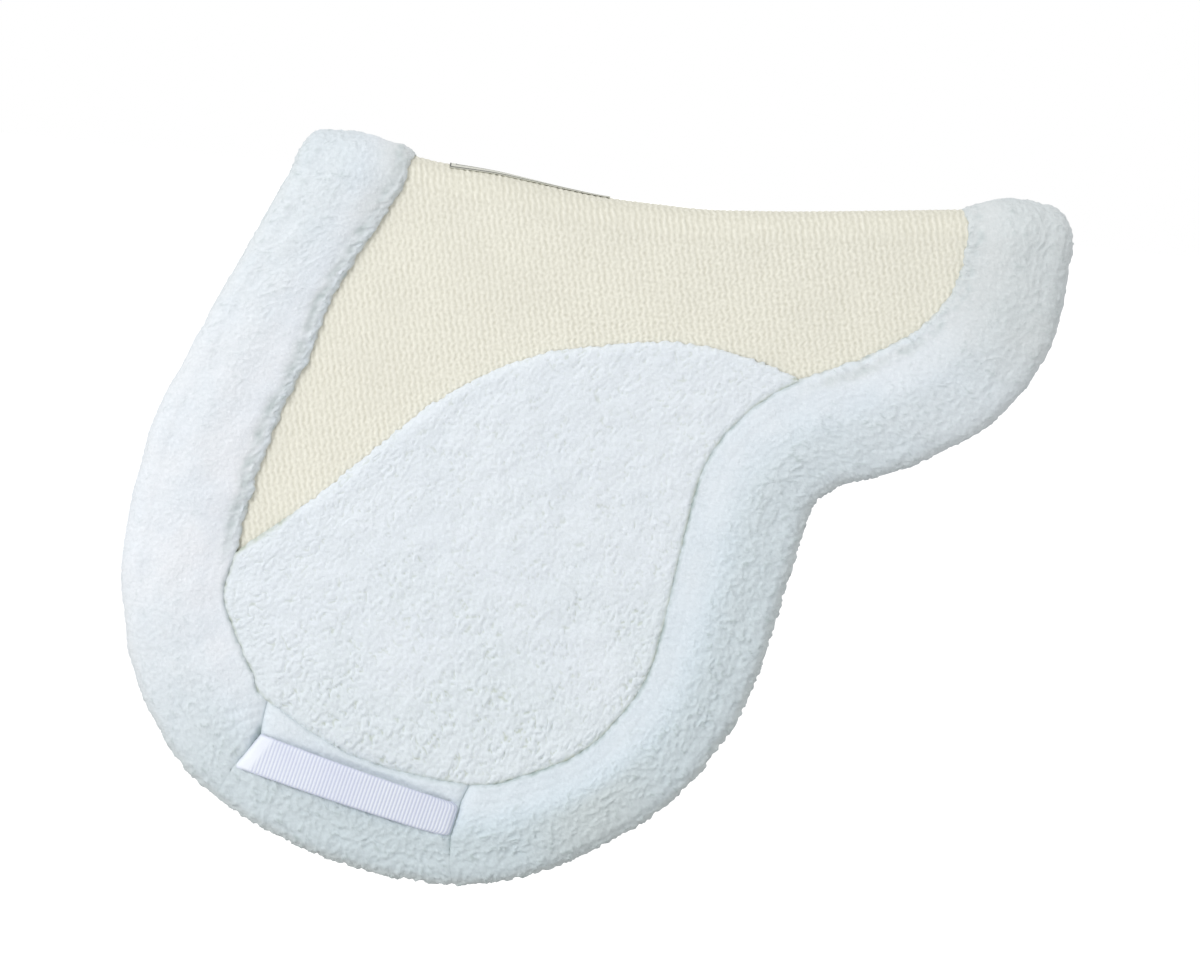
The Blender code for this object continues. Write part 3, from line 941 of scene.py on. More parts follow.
WEBBING = Finish(
    "nylon_webbing", (0.93, 0.965, 1.0), (0.88, 0.91, 0.98), (0.54, 0.58, 0.74),
    hollow_depth=0.75, fibre=0.0005, fibre_depth=0.00005, fibre_tone=0.08, roughness=0.5, sheen=0.1,
    threads=(0.0008, 0.0011), thread_depth=0.0001,
)
TAPE = Finish(
    "cotton_tape", (0.82, 0.81, 0.76), (0.78, 0.77, 0.72), (0.6, 0.58, 0.52), fibre=0.0005,
    fibre_depth=0.0001, threads=(0.0016, 0.0016), thread_depth=0.0003,
)
LABEL = Finish(
    "woven_label", (0.80, 0.80, 0.72), (0.76, 0.77, 0.66), (0.035, 0.035, 0.03),
    hollow_depth=1.0, fibre=0.0005, fibre_depth=0.00004, fibre_tone=0.1, roughness=0.6,
    threads=(0.0007, 0.0007), thread_depth=0.00006,
)
FINISHES = (
    BORDER_FLEECE, FLAP_SHERPA, KNIT_MESH, LINING_FLEECE, FOAM, WADDING, WEBBING, TAPE, LABEL,
)


# Pieces


@dataclass
class StripFace:
    """The outer surface of one strip of the border, before its pile is raised.

    Each array but places and drops has a value at each point. Those that tell how much or how
    deep run from 0 to 1.

    Args:
        places: Place of each row along the border.
        drops: Drop of the rows on the fold, and nan elsewhere.
        u: Distance from the crease.
        share: The same as a share of the roll's width.
        out: Distance out from the middle of the layers.
        cloth: The fleece's own two coordinates.
        pinch: How much the seams draw it in.
        face: How much it belongs to the roll's outer face.
        facing: Whether it lies on the outer half of the section.
        on_nose: Whether it lies on the rounded edge.
        front: Whether it lies in front of the keeper.
        flapped: How much the flap panel lies against its crease.
        gape: How far the fleece gapes beside the keeper's front end.
        valley: Depth of the valley beside the lip.
        broken: Small irregular values that break up creases.
    """

    places: Array
    drops: Array
    u: Array
    share: Array
    out: Array
    cloth: Array
    pinch: Array
    face: Array
    facing: Array
    on_nose: Array
    front: Array
    flapped: Array
    gape: Array
    valley: Array
    broken: Array


@dataclass
class Border:
    """The fleece roll round one half, in its three strips.

    Args:
        side: The half.
        shoulder: Width over which the roll rises from its lip.
        nose: Width of its rounded outer edge.
        crown: How far its face is domed.
        shell: Thickness of the fleece.
        clearance: Gap between cover and filler.
        step: Spacing of the rows along the roll.
        filler_step: Spacing of the filler's rows.
        slot_depth: Depth of the slot in the filler, from the crease.
        cover_steps: Columns on the cover's shoulder, face, nose, back face and back shoulder.
        lining_steps: The same for the cover's inner face.
        filler_steps: The same for the filler.
        swell: How much fuller than the construction the fleece's edge is, from place to place.
        lip: Width of the lip beside the crease.
        lip_lift: How much higher the lip starts where it meets the flap panel.
        lip_frays: Size and reach of each of the lip's irregularities.
        brow: Height over which the roll's outer face counts as reached.
        pressed: How far the roll's face is pressed in under the keeper.
        wrinkles: Start and end (x, z) of the wrinkles that run out from the front seam.
        wrinkle_depth: Depth of a wrinkle.
        pinch: How far the roll's face is drawn in at a seam.
        pinch_reach: Length over which it is drawn in before and after each seam.
        pinch_ends: Distance from the crease at which that starts to fade, and over how far.
        pinch_inside: Share by which a seam flattens the cover's inner face and the filler.
        pinch_edges: How far a seam draws in the outer edge of cover, inner face and filler.
        hem: Distance of the valley beside the lip, where the roll meets the mesh.
        hem_width: Width of that valley.
        hem_depth: Its depth in front of the keeper and behind it.
        hem_tufts: How much painted shade darkens it, in front of the keeper and behind it.
        pocket: How far the fleece gapes beside the keeper's front end, by distance from the crease;
            the gap also takes painted shade.
        pocket_depth: Depth of that gap.
        crease_tone: How much painted shade darkens the crease with the flap panel, from place to
            place.
        seam_fade: Length over which the pile lies down towards a seam.
        seam_gap: Gap between a seam and the end of a strip's fleece.
        seam_bends: How far each seam strays along the roll, by distance from the crease.
        bend_reach: Length over which the roll follows a seam's bend.
        curl_along: How curled the pile is, from place to place along the roll; it also sets how
            much of the curled tone, partly painted shade, the pile takes there.
        lean: How far the roll's inner and outer edges shift towards the middle at the top.
        sag: How much lower the roll's inner side lies at the top.
        squared: How much fuller its inner shoulder is at the top of the withers.
        top_reach: How many places from its ends the roll bends towards the top of the fold.
    """

    side: Side
    shoulder: float = 15.0
    nose: float = 18.0
    crown: float = 3.4
    shell: float = 3.5
    clearance: float = 0.4
    step: float = 1.1
    filler_step: float = 8.0
    slot_depth: float = 35.0
    cover_steps: tuple[int, ...] = (16, 56, 38, 18, 8)
    lining_steps: tuple[int, ...] = (4, 6, 6, 6, 4)
    filler_steps: tuple[int, ...] = (4, 6, 8, 6, 4)
    swell: Points = (
        (6.5, 0.0), (8.2, 4.0), (9.4, 4.8), (10.4, 2.5), (11.5, 0.0), (19.0, 0.0), (20.6, -3.0),
        (22.0, 0.0),
    )
    lip: float = 9.0
    lip_lift: float = 2.6
    lip_frays: Points = ((2.4, 9.0), (0.9, 3.6))
    brow: float = 6.0
    pressed: float = 2.0
    wrinkles: Sequence[Points] = (
        ((-277.9, -392.4), (-313.9, -408.3)), ((-280.1, -400.2), (-310.1, -423.0)),
        ((-280.8, -407.8), (-303.7, -433.6)), ((-284.3, -417.2), (-298.4, -441.3)),
    )
    wrinkle_depth: float = 0.7
    pinch: float = 5.0
    pinch_reach: tuple[Pair, Pair] = ((5.0, 5.5), (4.0, 4.0))
    pinch_ends: Pair = (46.0, 14.0)
    pinch_inside: Pair = (0.42, 0.48)
    pinch_edges: Triple = (0.4, 0.5, 0.7)
    hem: float = 9.0
    hem_width: float = 5.0
    hem_depth: Pair = (2.1, 1.3)
    hem_tufts: Pair = (0.75, 0.35)
    pocket: Points = ((16.0, 0.0), (21.0, 0.7), (26.0, 1.0), (36.0, 0.6), (54.0, 0.1))
    pocket_depth: float = 3.0
    crease_tone: Points = (
        (5.0, 0.8), (8.8, 0.8), (9.1, 0.2), (9.8, 0.3), (10.6, 0.7), (12.0, 1.5), (18.0, 1.4),
        (22.0, 0.9),
    )
    seam_fade: float = 1.5
    seam_gap: float = 0.02
    seam_bends: tuple[Points, Points] = (
        ((0.0, 0.0), (12.0, 3.0), (27.0, 8.5), (42.0, 4.5), (56.0, 0.5), (75.0, -1.0)),
        ((0.0, 2.0), (14.0, -2.5), (28.0, -4.0), (42.0, -6.0), (60.0, -4.0), (75.0, 0.0)),
    )
    bend_reach: float = 28.0
    curl_along: Points = (
        (0.0, 0.5), (1.5, 0.25), (5.0, 0.12), (7.2, 0.35), (8.6, 0.75), (10.0, 0.95), (12.0, 1.0),
        (17.0, 0.85), (23.0, 0.6), (26.0, 0.5), (28.0, 0.55),
    )
    lean: Pair = (5.0, 6.5)
    sag: float = 4.5
    squared: float = 4.5
    top_reach: float = 0.5
    pile: Pile = Pile(
        curl_size=7.0, curl_height=1.9, clump_size=24.0, clump_height=1.4, seed=11, evenness=0.65,
    )

    def contour(self, counts: Sequence[int], inset: float) -> tuple[Array, Array, Array]:
        """The roll's section from one lip over the nose to the other.

        Args:
            counts: Steps on shoulder, face, nose, back face and back shoulder.
            inset: Distance inside the outer surface.

        Returns:
            For each column, the fixed and the width-following part of u, and the distance out.
        """
        slot = SHAPE.slot_half
        half = SHAPE.border_half - inset
        rise = np.linspace(0.0, math.pi / 2, counts[0], endpoint=False)
        face = np.linspace(0.0, 1.0, counts[1], endpoint=False)
        turn = np.linspace(0.0, math.pi, counts[2], endpoint=False)
        back = np.linspace(1.0, 0.0, counts[3], endpoint=False)
        fall = np.linspace(math.pi / 2, 0.0, counts[4] + 1)
        reach = self.shoulder - inset
        crown = self.crown * (inset == 0.0)
        parts = [
            (self.shoulder - reach * np.cos(rise), 0 * rise, slot + (half - slot) * np.sin(rise)),
            (
                self.shoulder - face * (self.nose + self.shoulder), face,
                half + crown * np.sin(math.pi * face),
            ),
            (-self.nose + (self.nose - inset) * np.sin(turn), 1 + 0 * turn, half * np.cos(turn)),
            (self.shoulder - back * (self.nose + self.shoulder), back, -half + 0 * back),
            (self.shoulder - reach * np.cos(fall), 0 * fall, -slot - (half - slot) * np.sin(fall)),
        ]
        fixed, follow, out = (np.concatenate(column) for column in zip(*parts))
        return fixed, follow, out

    def rows(self, start: float, stop: float, step: float) -> Arrays:
        """Places of the rows and, where they lie on the fold, their drop.

        Args:
            start: First place.
            stop: Last place.
            step: Spacing of the rows.

        Returns:
            The places, and the drops with nan where the roll hangs straight.
        """
        places = SHAPE.even_places(start, stop, step)
        drops = np.full(len(places), np.nan)
        count = round((SHAPE.fold_radius + SHAPE.border_half) * math.pi / 2 / step)
        arc = np.linspace(0.0, SHAPE.quarter, count, endpoint=False)
        if start == 0.0:
            return np.hstack([0 * arc, places]), np.hstack([arc, drops])
        if stop == SHAPE.end:
            return np.hstack([places, 0 * arc + SHAPE.end]), np.hstack([drops, arc[::-1]])
        return places, drops

    def lay(self, places: Array, drops: Array, u: Array, out: Array) -> Array:
        """Hang the section's points.

        Args:
            places: Place of each row.
            drops: Drop of the rows on the fold.
            u: Distance from the crease at each point.
            out: Distance out at each point.

        Returns:
            Rows, columns and coordinates.
        """
        inner, outward, _ = SHAPE.stations(places)
        x = inner[:, :1] + outward[:, :1] * u
        z = inner[:, 1:] + outward[:, 1:] * u
        drop = SHAPE.drop_of(x, z)
        across = np.clip(u / 90.0, 0.0, 1.0)
        raised = np.clip((out - SHAPE.slot_half) / self.lining_rise, 0.0, 1.0)
        shoulder = self.squared * hill(u, 9.0, 8.0)
        for end, slope, fuller in ((0.0, 1.0, shoulder), (SHAPE.end, -1.0, 0.0 * shoulder)):
            top_inner, top_outward, _ = SHAPE.stations(np.array([end]))
            top_x = top_inner[:, :1] + top_outward[:, :1] * u
            top_z = top_inner[:, 1:] + top_outward[:, 1:] * u
            away = np.abs(places - end)
            off_line = SHAPE.fold_centre(top_x) - top_z
            drop = drop - off_line * smooth_step(1.0 - away / self.top_reach)[:, None]
            on_fold = (~np.isnan(drops) & (away < self.top_reach))[:, None]
            turn = np.nan_to_num(drops)[:, None] / SHAPE.fold_radius
            topped = np.where(on_fold, np.cos(turn) ** 2, 0.0)
            x = x + slope * (self.lean[0] + (self.lean[1] - self.lean[0]) * across) * topped
            out = out + (fuller - self.sag * (1 - across)) * raised * topped
        drop = np.where(np.isnan(drops)[:, None], drop, np.nan_to_num(drops)[:, None])
        points = SHAPE.hang(self.side, x, drop, out)
        for seam, bend in zip((SHAPE.front_seam, SHAPE.rear_seam), self.seam_bends):
            distance, along = self.from_seam(places, seam)
            shift = profile(bend, u) * hill(distance, 0.0, self.bend_reach)[:, None]
            points = points + shift[..., None] * np.array([along[0], 0.0, along[1]])
        return points

    def from_seam(self, places: Array, seam: float) -> Arrays:
        """Distance of each row's middle from a seam, and the roll's direction there."""
        at_seam = SHAPE.roll_middle(np.array([seam - 0.02, seam, seam + 0.02]))
        along = at_seam[2] - at_seam[0]
        distance = np.linalg.norm(SHAPE.roll_middle(places) - at_seam[1], axis=1)
        return distance, along / np.linalg.norm(along)

    def pinched(self, places: Array, u: Array) -> Array:
        """How much each point is drawn in by the seams, from 0 to 1."""
        amount = np.zeros(u.shape)
        start, reach = self.pinch_ends
        for seam, (before, after) in zip((SHAPE.front_seam, SHAPE.rear_seam), self.pinch_reach):
            distance, _ = self.from_seam(places, seam)
            near = np.exp(-distance / np.where(places < seam, before, after))[:, None]
            amount = np.maximum(amount, near * (1 - 0.92 * smooth_step((u - start) / reach)))
        return amount

    @staticmethod
    def flapped(places: Array, start: float, rise: float, stop: float) -> Array:
        """How much the flap panel lies against the crease, from 0 to 1.

        Args:
            places: Place of each row.
            start: How far before the flap panel's front end it begins.
            rise: Over how much of the border it comes in.
            stop: How far behind the flap panel's rear end it ends.

        Returns:
            One value for each row, in a column.
        """
        begun = smooth_step((places - (SHAPE.flap_front - start)) / rise)
        return (begun * smooth_step(SHAPE.flap_rear + stop - places))[:, None]

    def strip_face(self, start: float, stop: float) -> StripFace:
        """Shape the outer surface of one strip, with all but its pile.

        Args:
            start: Place of its first seam or end.
            stop: Place of its last seam or end.

        Returns:
            The surface.
        """
        places, drops = self.rows(start, stop, self.step)
        width = SHAPE.stations(places)[2][:, None]
        fixed, follow, level = self.contour(self.cover_steps, 0.0)
        u = fixed + follow * width
        share = u / width
        u = u + profile(self.swell, places)[:, None] * smooth_step(share * 1.6 - 0.6)
        out = np.broadcast_to(level, u.shape)
        facing = out > 0
        face = smooth_step((out - SHAPE.slot_half) / self.brow)
        pinch = self.pinched(places, u)
        plain = self.lay(places, drops, u, out)
        either_face = smooth_step((np.abs(out) - SHAPE.slot_half) / self.brow)
        out = out - np.sign(out) * pinch * self.pinch * either_face
        out = out - face * self.pressed * GirthKeeper(self.side).over(plain)
        out = out - face * self.wrinkle_depth * self.wrinkled(plain)
        flapped = self.flapped(places, 0.4, 0.8, 0.5)
        out = out + self.lip_lift * flapped * fade(u, self.lip) * facing
        u = u - self.pinch_edges[0] * self.pinch * pinch * smooth_step(share * 2 - 1)
        cloth = self.cloth(plain, u, out, drops, start)
        ragged, broken = (grain_over(cloth, *kind) for kind in ((12.0, 13), (6.0, 17)))
        front = (places < SHAPE.front_seam)[:, None]
        valley = hill(u, self.hem, self.hem_width) * (1 - flapped) * facing
        valley = valley * np.clip(0.72 + 0.9 * ragged, 0.35, 1.0)
        out = out - np.where(front, *self.hem_depth) * valley
        gape = profile(self.pocket, u) * front * facing
        apart = self.from_seam(places, SHAPE.front_seam)[0][:, None]
        out = out - self.pocket_depth * gape * fade(apart, 7.0)
        return StripFace(
            places, drops, u, share, out, cloth, pinch, face, facing, follow >= 1.0, front, flapped,
            gape, valley, broken,
        )

    def frayed(self, strip: StripFace) -> Array:
        """How far the lip strays from its line."""
        stray = sum(size * grain_over(strip.cloth, reach, 5) for size, reach in self.lip_frays)
        return stray * (1 - 0.65 * strip.flapped) * fade(strip.u, self.lip) * strip.facing

    def raised(self, strip: StripFace) -> Arrays:
        """Height of the pile over the strip's surface, and its painted shade from 0 to 1: in the
        partings, in the crease with the flap panel, along the lip, in the hem valley and in the gap
        beside the keeper's front end, with a darker line along the seams.
        """
        u, out, facing = strip.u, strip.out, strip.facing
        height, parting = self.pile.relief(strip.cloth, self.curliness(strip)[0])
        room = np.where(strip.on_nose, self.shell, np.abs(out) - self.lining_level(u, strip.pinch))
        height = np.maximum(height, 0.5 - room)
        # Painted shade in the crease with the flap panel.
        tone = profile(self.crease_tone, strip.places)[:, None]
        tone = tone * np.clip(0.8 + strip.broken, 0.3, 1.3)
        parting = np.maximum(parting, tone * strip.flapped * fade(u, 4.2) * facing)
        # Painted shade in specks along the lip, and in the hem valley.
        lip_shade_specks = smooth_step(2.6 * strip.broken - 0.35) * fade(u, 2.6) * facing
        hem_shaded = np.where(strip.front, *self.hem_tufts) * strip.valley
        hem_shaded = hem_shaded * np.clip(0.5 + 1.6 * strip.broken, 0.0, 1.0)
        parting = np.maximum(parting, np.maximum(0.9 * lip_shade_specks * (1 - strip.flapped), hem_shaded))
        beyond = smooth_step((u - self.pinch_ends[0]) / self.pinch_ends[1])
        for seam, tint in ((SHAPE.front_seam, 0.5), (SHAPE.rear_seam, 0.9)):
            distance = self.from_seam(strip.places, seam)[0][:, None]
            closing = fade(distance, self.seam_fade + 3.5 * beyond)
            closing = np.maximum(strip.pinch, 0.8 * beyond) * closing
            height = height * (1 - closing)
            stitched = tint * strip.pinch * strip.face * fade(distance, 1.6)
            parting = np.maximum(parting * (1 - closing), stitched)
        apart = self.from_seam(strip.places, SHAPE.front_seam)[0][:, None]
        # Painted shade in the gap beside the keeper's front end.
        pocket = 1.7 * strip.gape * fade(apart, 1.0 + 6.0 * strip.gape)
        height = np.where(out < -SHAPE.slot_half, np.minimum(height - 0.6, 0.4), height)
        return height * (0.4 + 0.6 * smooth_step(u / 5.0)), np.maximum(parting, pocket)

    def cover(self, name: str, start: float, stop: float, material: Material) -> Piece:
        """Fleece cover of one strip, with its pile.

        Args:
            name: Name of the piece.
            start: Place of its first seam or end.
            stop: Place of its last seam or end.
            material: Its material.

        Returns:
            The new object.
        """
        strip = self.strip_face(start, stop)
        base = self.lay(strip.places, strip.drops, strip.u + self.frayed(strip), strip.out)
        height, parting = self.raised(strip)
        surface = base + grid_normals(base) * -self.side.value * height[..., None]
        apex = self.apex(strip.drops)
        if strip.drops[apex] == 0.0:
            surface[apex, :, 1] = 0.0
        # Curled tone, partly the pile's own and partly painted shade, also in the hem valley.
        curl_tone_and_shade = np.maximum(self.curliness(strip)[1], 0.6 * strip.valley)
        # Painted shade at the roll's outer edge, joint and ends, and in the hem valley.
        dusted = np.maximum(self.dusting(strip), 0.35 * strip.valley)
        builder = MeshBuilder(name)
        skin = builder.grid(surface, base, parting, curled=curl_tone_and_shade, dusted=dusted)
        inner = self.inside(strip.places, self.lining_steps, self.shell, 0)
        lining = self.lay(strip.places, strip.drops, *inner)[:, ::-1]
        under = builder.grid(lining, lining)
        for edges in ((skin[:, -1], under[:, 0]), (under[:, -1], skin[:, 0])):
            builder.strip(np.stack(edges, axis=1))
        builder.close_between(skin[0], under[0][::-1])
        builder.close_between(skin[-1][::-1], under[-1])
        return builder.build(material)

    def inside(self, places: Array, counts: Sequence[int], inset: float, layer: int) -> Arrays:
        """Section of a layer inside the fleece, drawn in at the seams.

        Args:
            places: Place of each row.
            counts: Steps round the section, as for contour.
            inset: Distance inside the outer surface.
            layer: 0 for the cover's inner face and 1 for the filler.

        Returns:
            Distance from the crease and distance out at each point.
        """
        fixed, follow, level = self.contour(counts, inset)
        u = fixed + follow * SHAPE.stations(places)[2][:, None]
        pinch = self.pinched(places, u)
        u = u - self.pinch_edges[layer + 1] * self.pinch * pinch * (follow > 0.5)
        return u, level * (1 - self.pinch_inside[layer] * pinch)

    @staticmethod
    def apex(drops: Array) -> int:
        """Index of the row nearest to the top of the fold."""
        return int(np.argmin(np.abs(np.nan_to_num(drops, nan=1e9))))

    @property
    def lining_rise(self) -> float:
        """Height of the cover's inner face over the slot."""
        return SHAPE.border_half - self.shell - SHAPE.slot_half

    def lining_level(self, u: Array, pinch: Array) -> Array:
        """Distance out of the cover's inner face, at a distance u from the crease."""
        short = np.clip((self.shoulder - u) / (self.shoulder - self.shell), 0.0, 1.0)
        level = SHAPE.slot_half + self.lining_rise * np.sqrt(1 - short**2)
        return level * (1 - self.pinch_inside[0] * pinch)

    def cloth(self, points: Array, u: Array, out: Array, drops: Array, start: float) -> Array:
        """The fleece's own coordinates, along the roll and round it.

        Args:
            points: The roll's surface, rows, columns and coordinates.
            u: Distance from the crease at each point.
            out: Distance out at each point.
            drops: Drop of the rows on the fold.
            start: Place of the strip's first row.

        Returns:
            Rows, columns and two coordinates, which run on over the fold into the other half.
        """
        steps = np.linalg.norm(np.diff(points, axis=0), axis=2).mean(axis=1)
        along = np.append(0.0, np.cumsum(steps))
        along = (along - along[self.apex(drops)]) * self.side.value + 1000.0 * start
        around = np.cumsum(np.hypot(np.diff(u, axis=1), np.diff(out, axis=1)), axis=1)
        around = np.concatenate([0 * u[:, :1], around], axis=1)
        return np.stack(np.broadcast_arrays(along[:, None], around), axis=-1)

    def filler(self, name: str, start: float, stop: float, material: Material) -> Piece:
        """Wadding inside one strip's cover: a closed roll with a slot for the panel's edge."""
        places, drops = self.rows(start, stop, self.filler_step)
        u, out = self.inside(places, self.filler_steps, self.shell + self.clearance, 1)
        slot_u = np.full((len(places), 2), self.slot_depth)
        slot_out = np.broadcast_to(np.array([-SHAPE.slot_half, SHAPE.slot_half]), slot_u.shape)
        points = self.lay(places, drops, np.hstack([u, slot_u]), np.hstack([out, slot_out]))
        builder = MeshBuilder(name)
        index = builder.grid(points, points, closed=True)
        for row, turned in ((index[0], False), (index[-1], True)):
            low, high = row[-2], row[-1]
            tip = (len(row) - 3) // 2
            fans = [(high, row[i], row[i + 1]) for i in range(tip)] + [(high, row[tip], low)]
            fans += [(low, row[i], row[i + 1]) for i in range(tip, len(row) - 3)]
            builder.faces.extend(tuple(int(k) for k in (f[::-1] if turned else f)) for f in fans)
        return builder.build(material)

    def wrinkled(self, points: Array) -> Array:
        """Depth of the wrinkles beside the front seam, from 0 to 1."""
        amount = np.zeros(points.shape[:2])
        for start, end in self.wrinkles:
            run = np.array(end) - np.array(start)
            offset = points[..., ::2] - np.array(start)
            along = offset @ run / (run @ run)
            bow = 2.5 * np.sin(math.pi * np.clip(along, 0.0, 1.0))
            away = (offset[..., 0] * run[1] - offset[..., 1] * run[0]) / np.linalg.norm(run) - bow
            ends = smooth_step(along * 4 + 0.6) * smooth_step((1 - along) * 2)
            amount = np.maximum(amount, hill(away, 0.0, 2.0) * ends)
        return amount

    def curliness(self, strip: StripFace) -> Arrays:
        """How curled the pile is: brushed smooth at the front and in a band beside the crease.

        Args:
            strip: The strip's surface.

        Returns:
            From 0 to 1 at each point: how curled it is, and how much of the curled tone it takes,
                which is partly painted shade, more on the bottom and rear strips than at the front.
        """
        along = profile(self.curl_along, strip.places)[:, None]
        band = smooth_step(strip.share / 0.4 - 0.35)
        frayed = fade(strip.u, 16.0) * (1 - self.flapped(strip.places, 0.8, 1.2, 1.0))
        rim = smooth_step((strip.share - 0.85) / 0.15)
        curled = np.maximum(along * (0.12 + 0.88 * band) * (1 + 0.5 * rim), 1.2 * frayed)
        return curled, np.maximum(along * (0.6 + 0.4 * band), 0.5 * frayed)

    def dusting(self, strip: StripFace) -> Array:
        """How much painted shade the pile takes: at the outer edge, which turns away from the
        light, in the joint with the mesh, at the top of the withers and low on the bottom strip; it
        also greys towards the cantle.
        """
        places, share = strip.places[:, None], strip.share
        rim = 0.25 * smooth_step((share - 0.3) / 0.3) + 0.3 * smooth_step((share - 0.88) / 0.12)
        rim = rim * profile(self.curl_along, places)
        joint = 0.6 * fade(strip.u, 1.8)
        cantle = 0.4 * smooth_step((places - 23.5) / 3.5)
        withers = 0.35 * fade(places, 0.8) * fade(share, 0.5)
        # Painted shade low on the bottom strip, farther from the key lamp.
        low = 0.45 * hill(places, 13.0, 1.4) * smooth_step((share - 0.3) / 0.25)
        greyed = np.maximum.reduce(np.broadcast_arrays(rim, joint, cantle, withers, low))
        return greyed * (1 - strip.flapped * (strip.u < 3.0))

    def make(self, finishes: Materials) -> None:
        name, front, rear = self.side.prefix, SHAPE.front_seam, SHAPE.rear_seam
        for part, build, slot, gap in (
            ("cover", self.cover, "border_fleece", self.seam_gap),
            ("filler", self.filler, "polyester_filler", self.shell),
        ):
            reach = gap / SHAPE.place_length(front)
            spans = {
                "front": (0.0, front - reach, ["withers"]),
                "bottom": (front + reach, rear - reach, []),
                "rear": (rear + reach, SHAPE.end, ["cantle"]),
            }
            for strip, (start, stop, over) in spans.items():
                piece = build(f"{name}_{strip}_roll_{part}", start, stop, finishes[slot])
                hidden = [f"{end}_border_{part}" for end in over]
                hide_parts(f"{name}_{strip}_border_{part}", *hidden)
                if over:
                    bend_over_fold(piece)
                else:
                    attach(piece, self.side.body)


def bend_over_fold(piece: Piece) -> None:
    """Bake the transform of a roll that crosses the fold."""
    top = float(SHAPE.fold_centre(np.array([SHAPE.ridge.points[2][0]]))[0])
    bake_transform(piece)


def bend_sheet(piece: Piece) -> None:
    """Bake the transform of a sheet that crosses the fold."""
    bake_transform(piece)


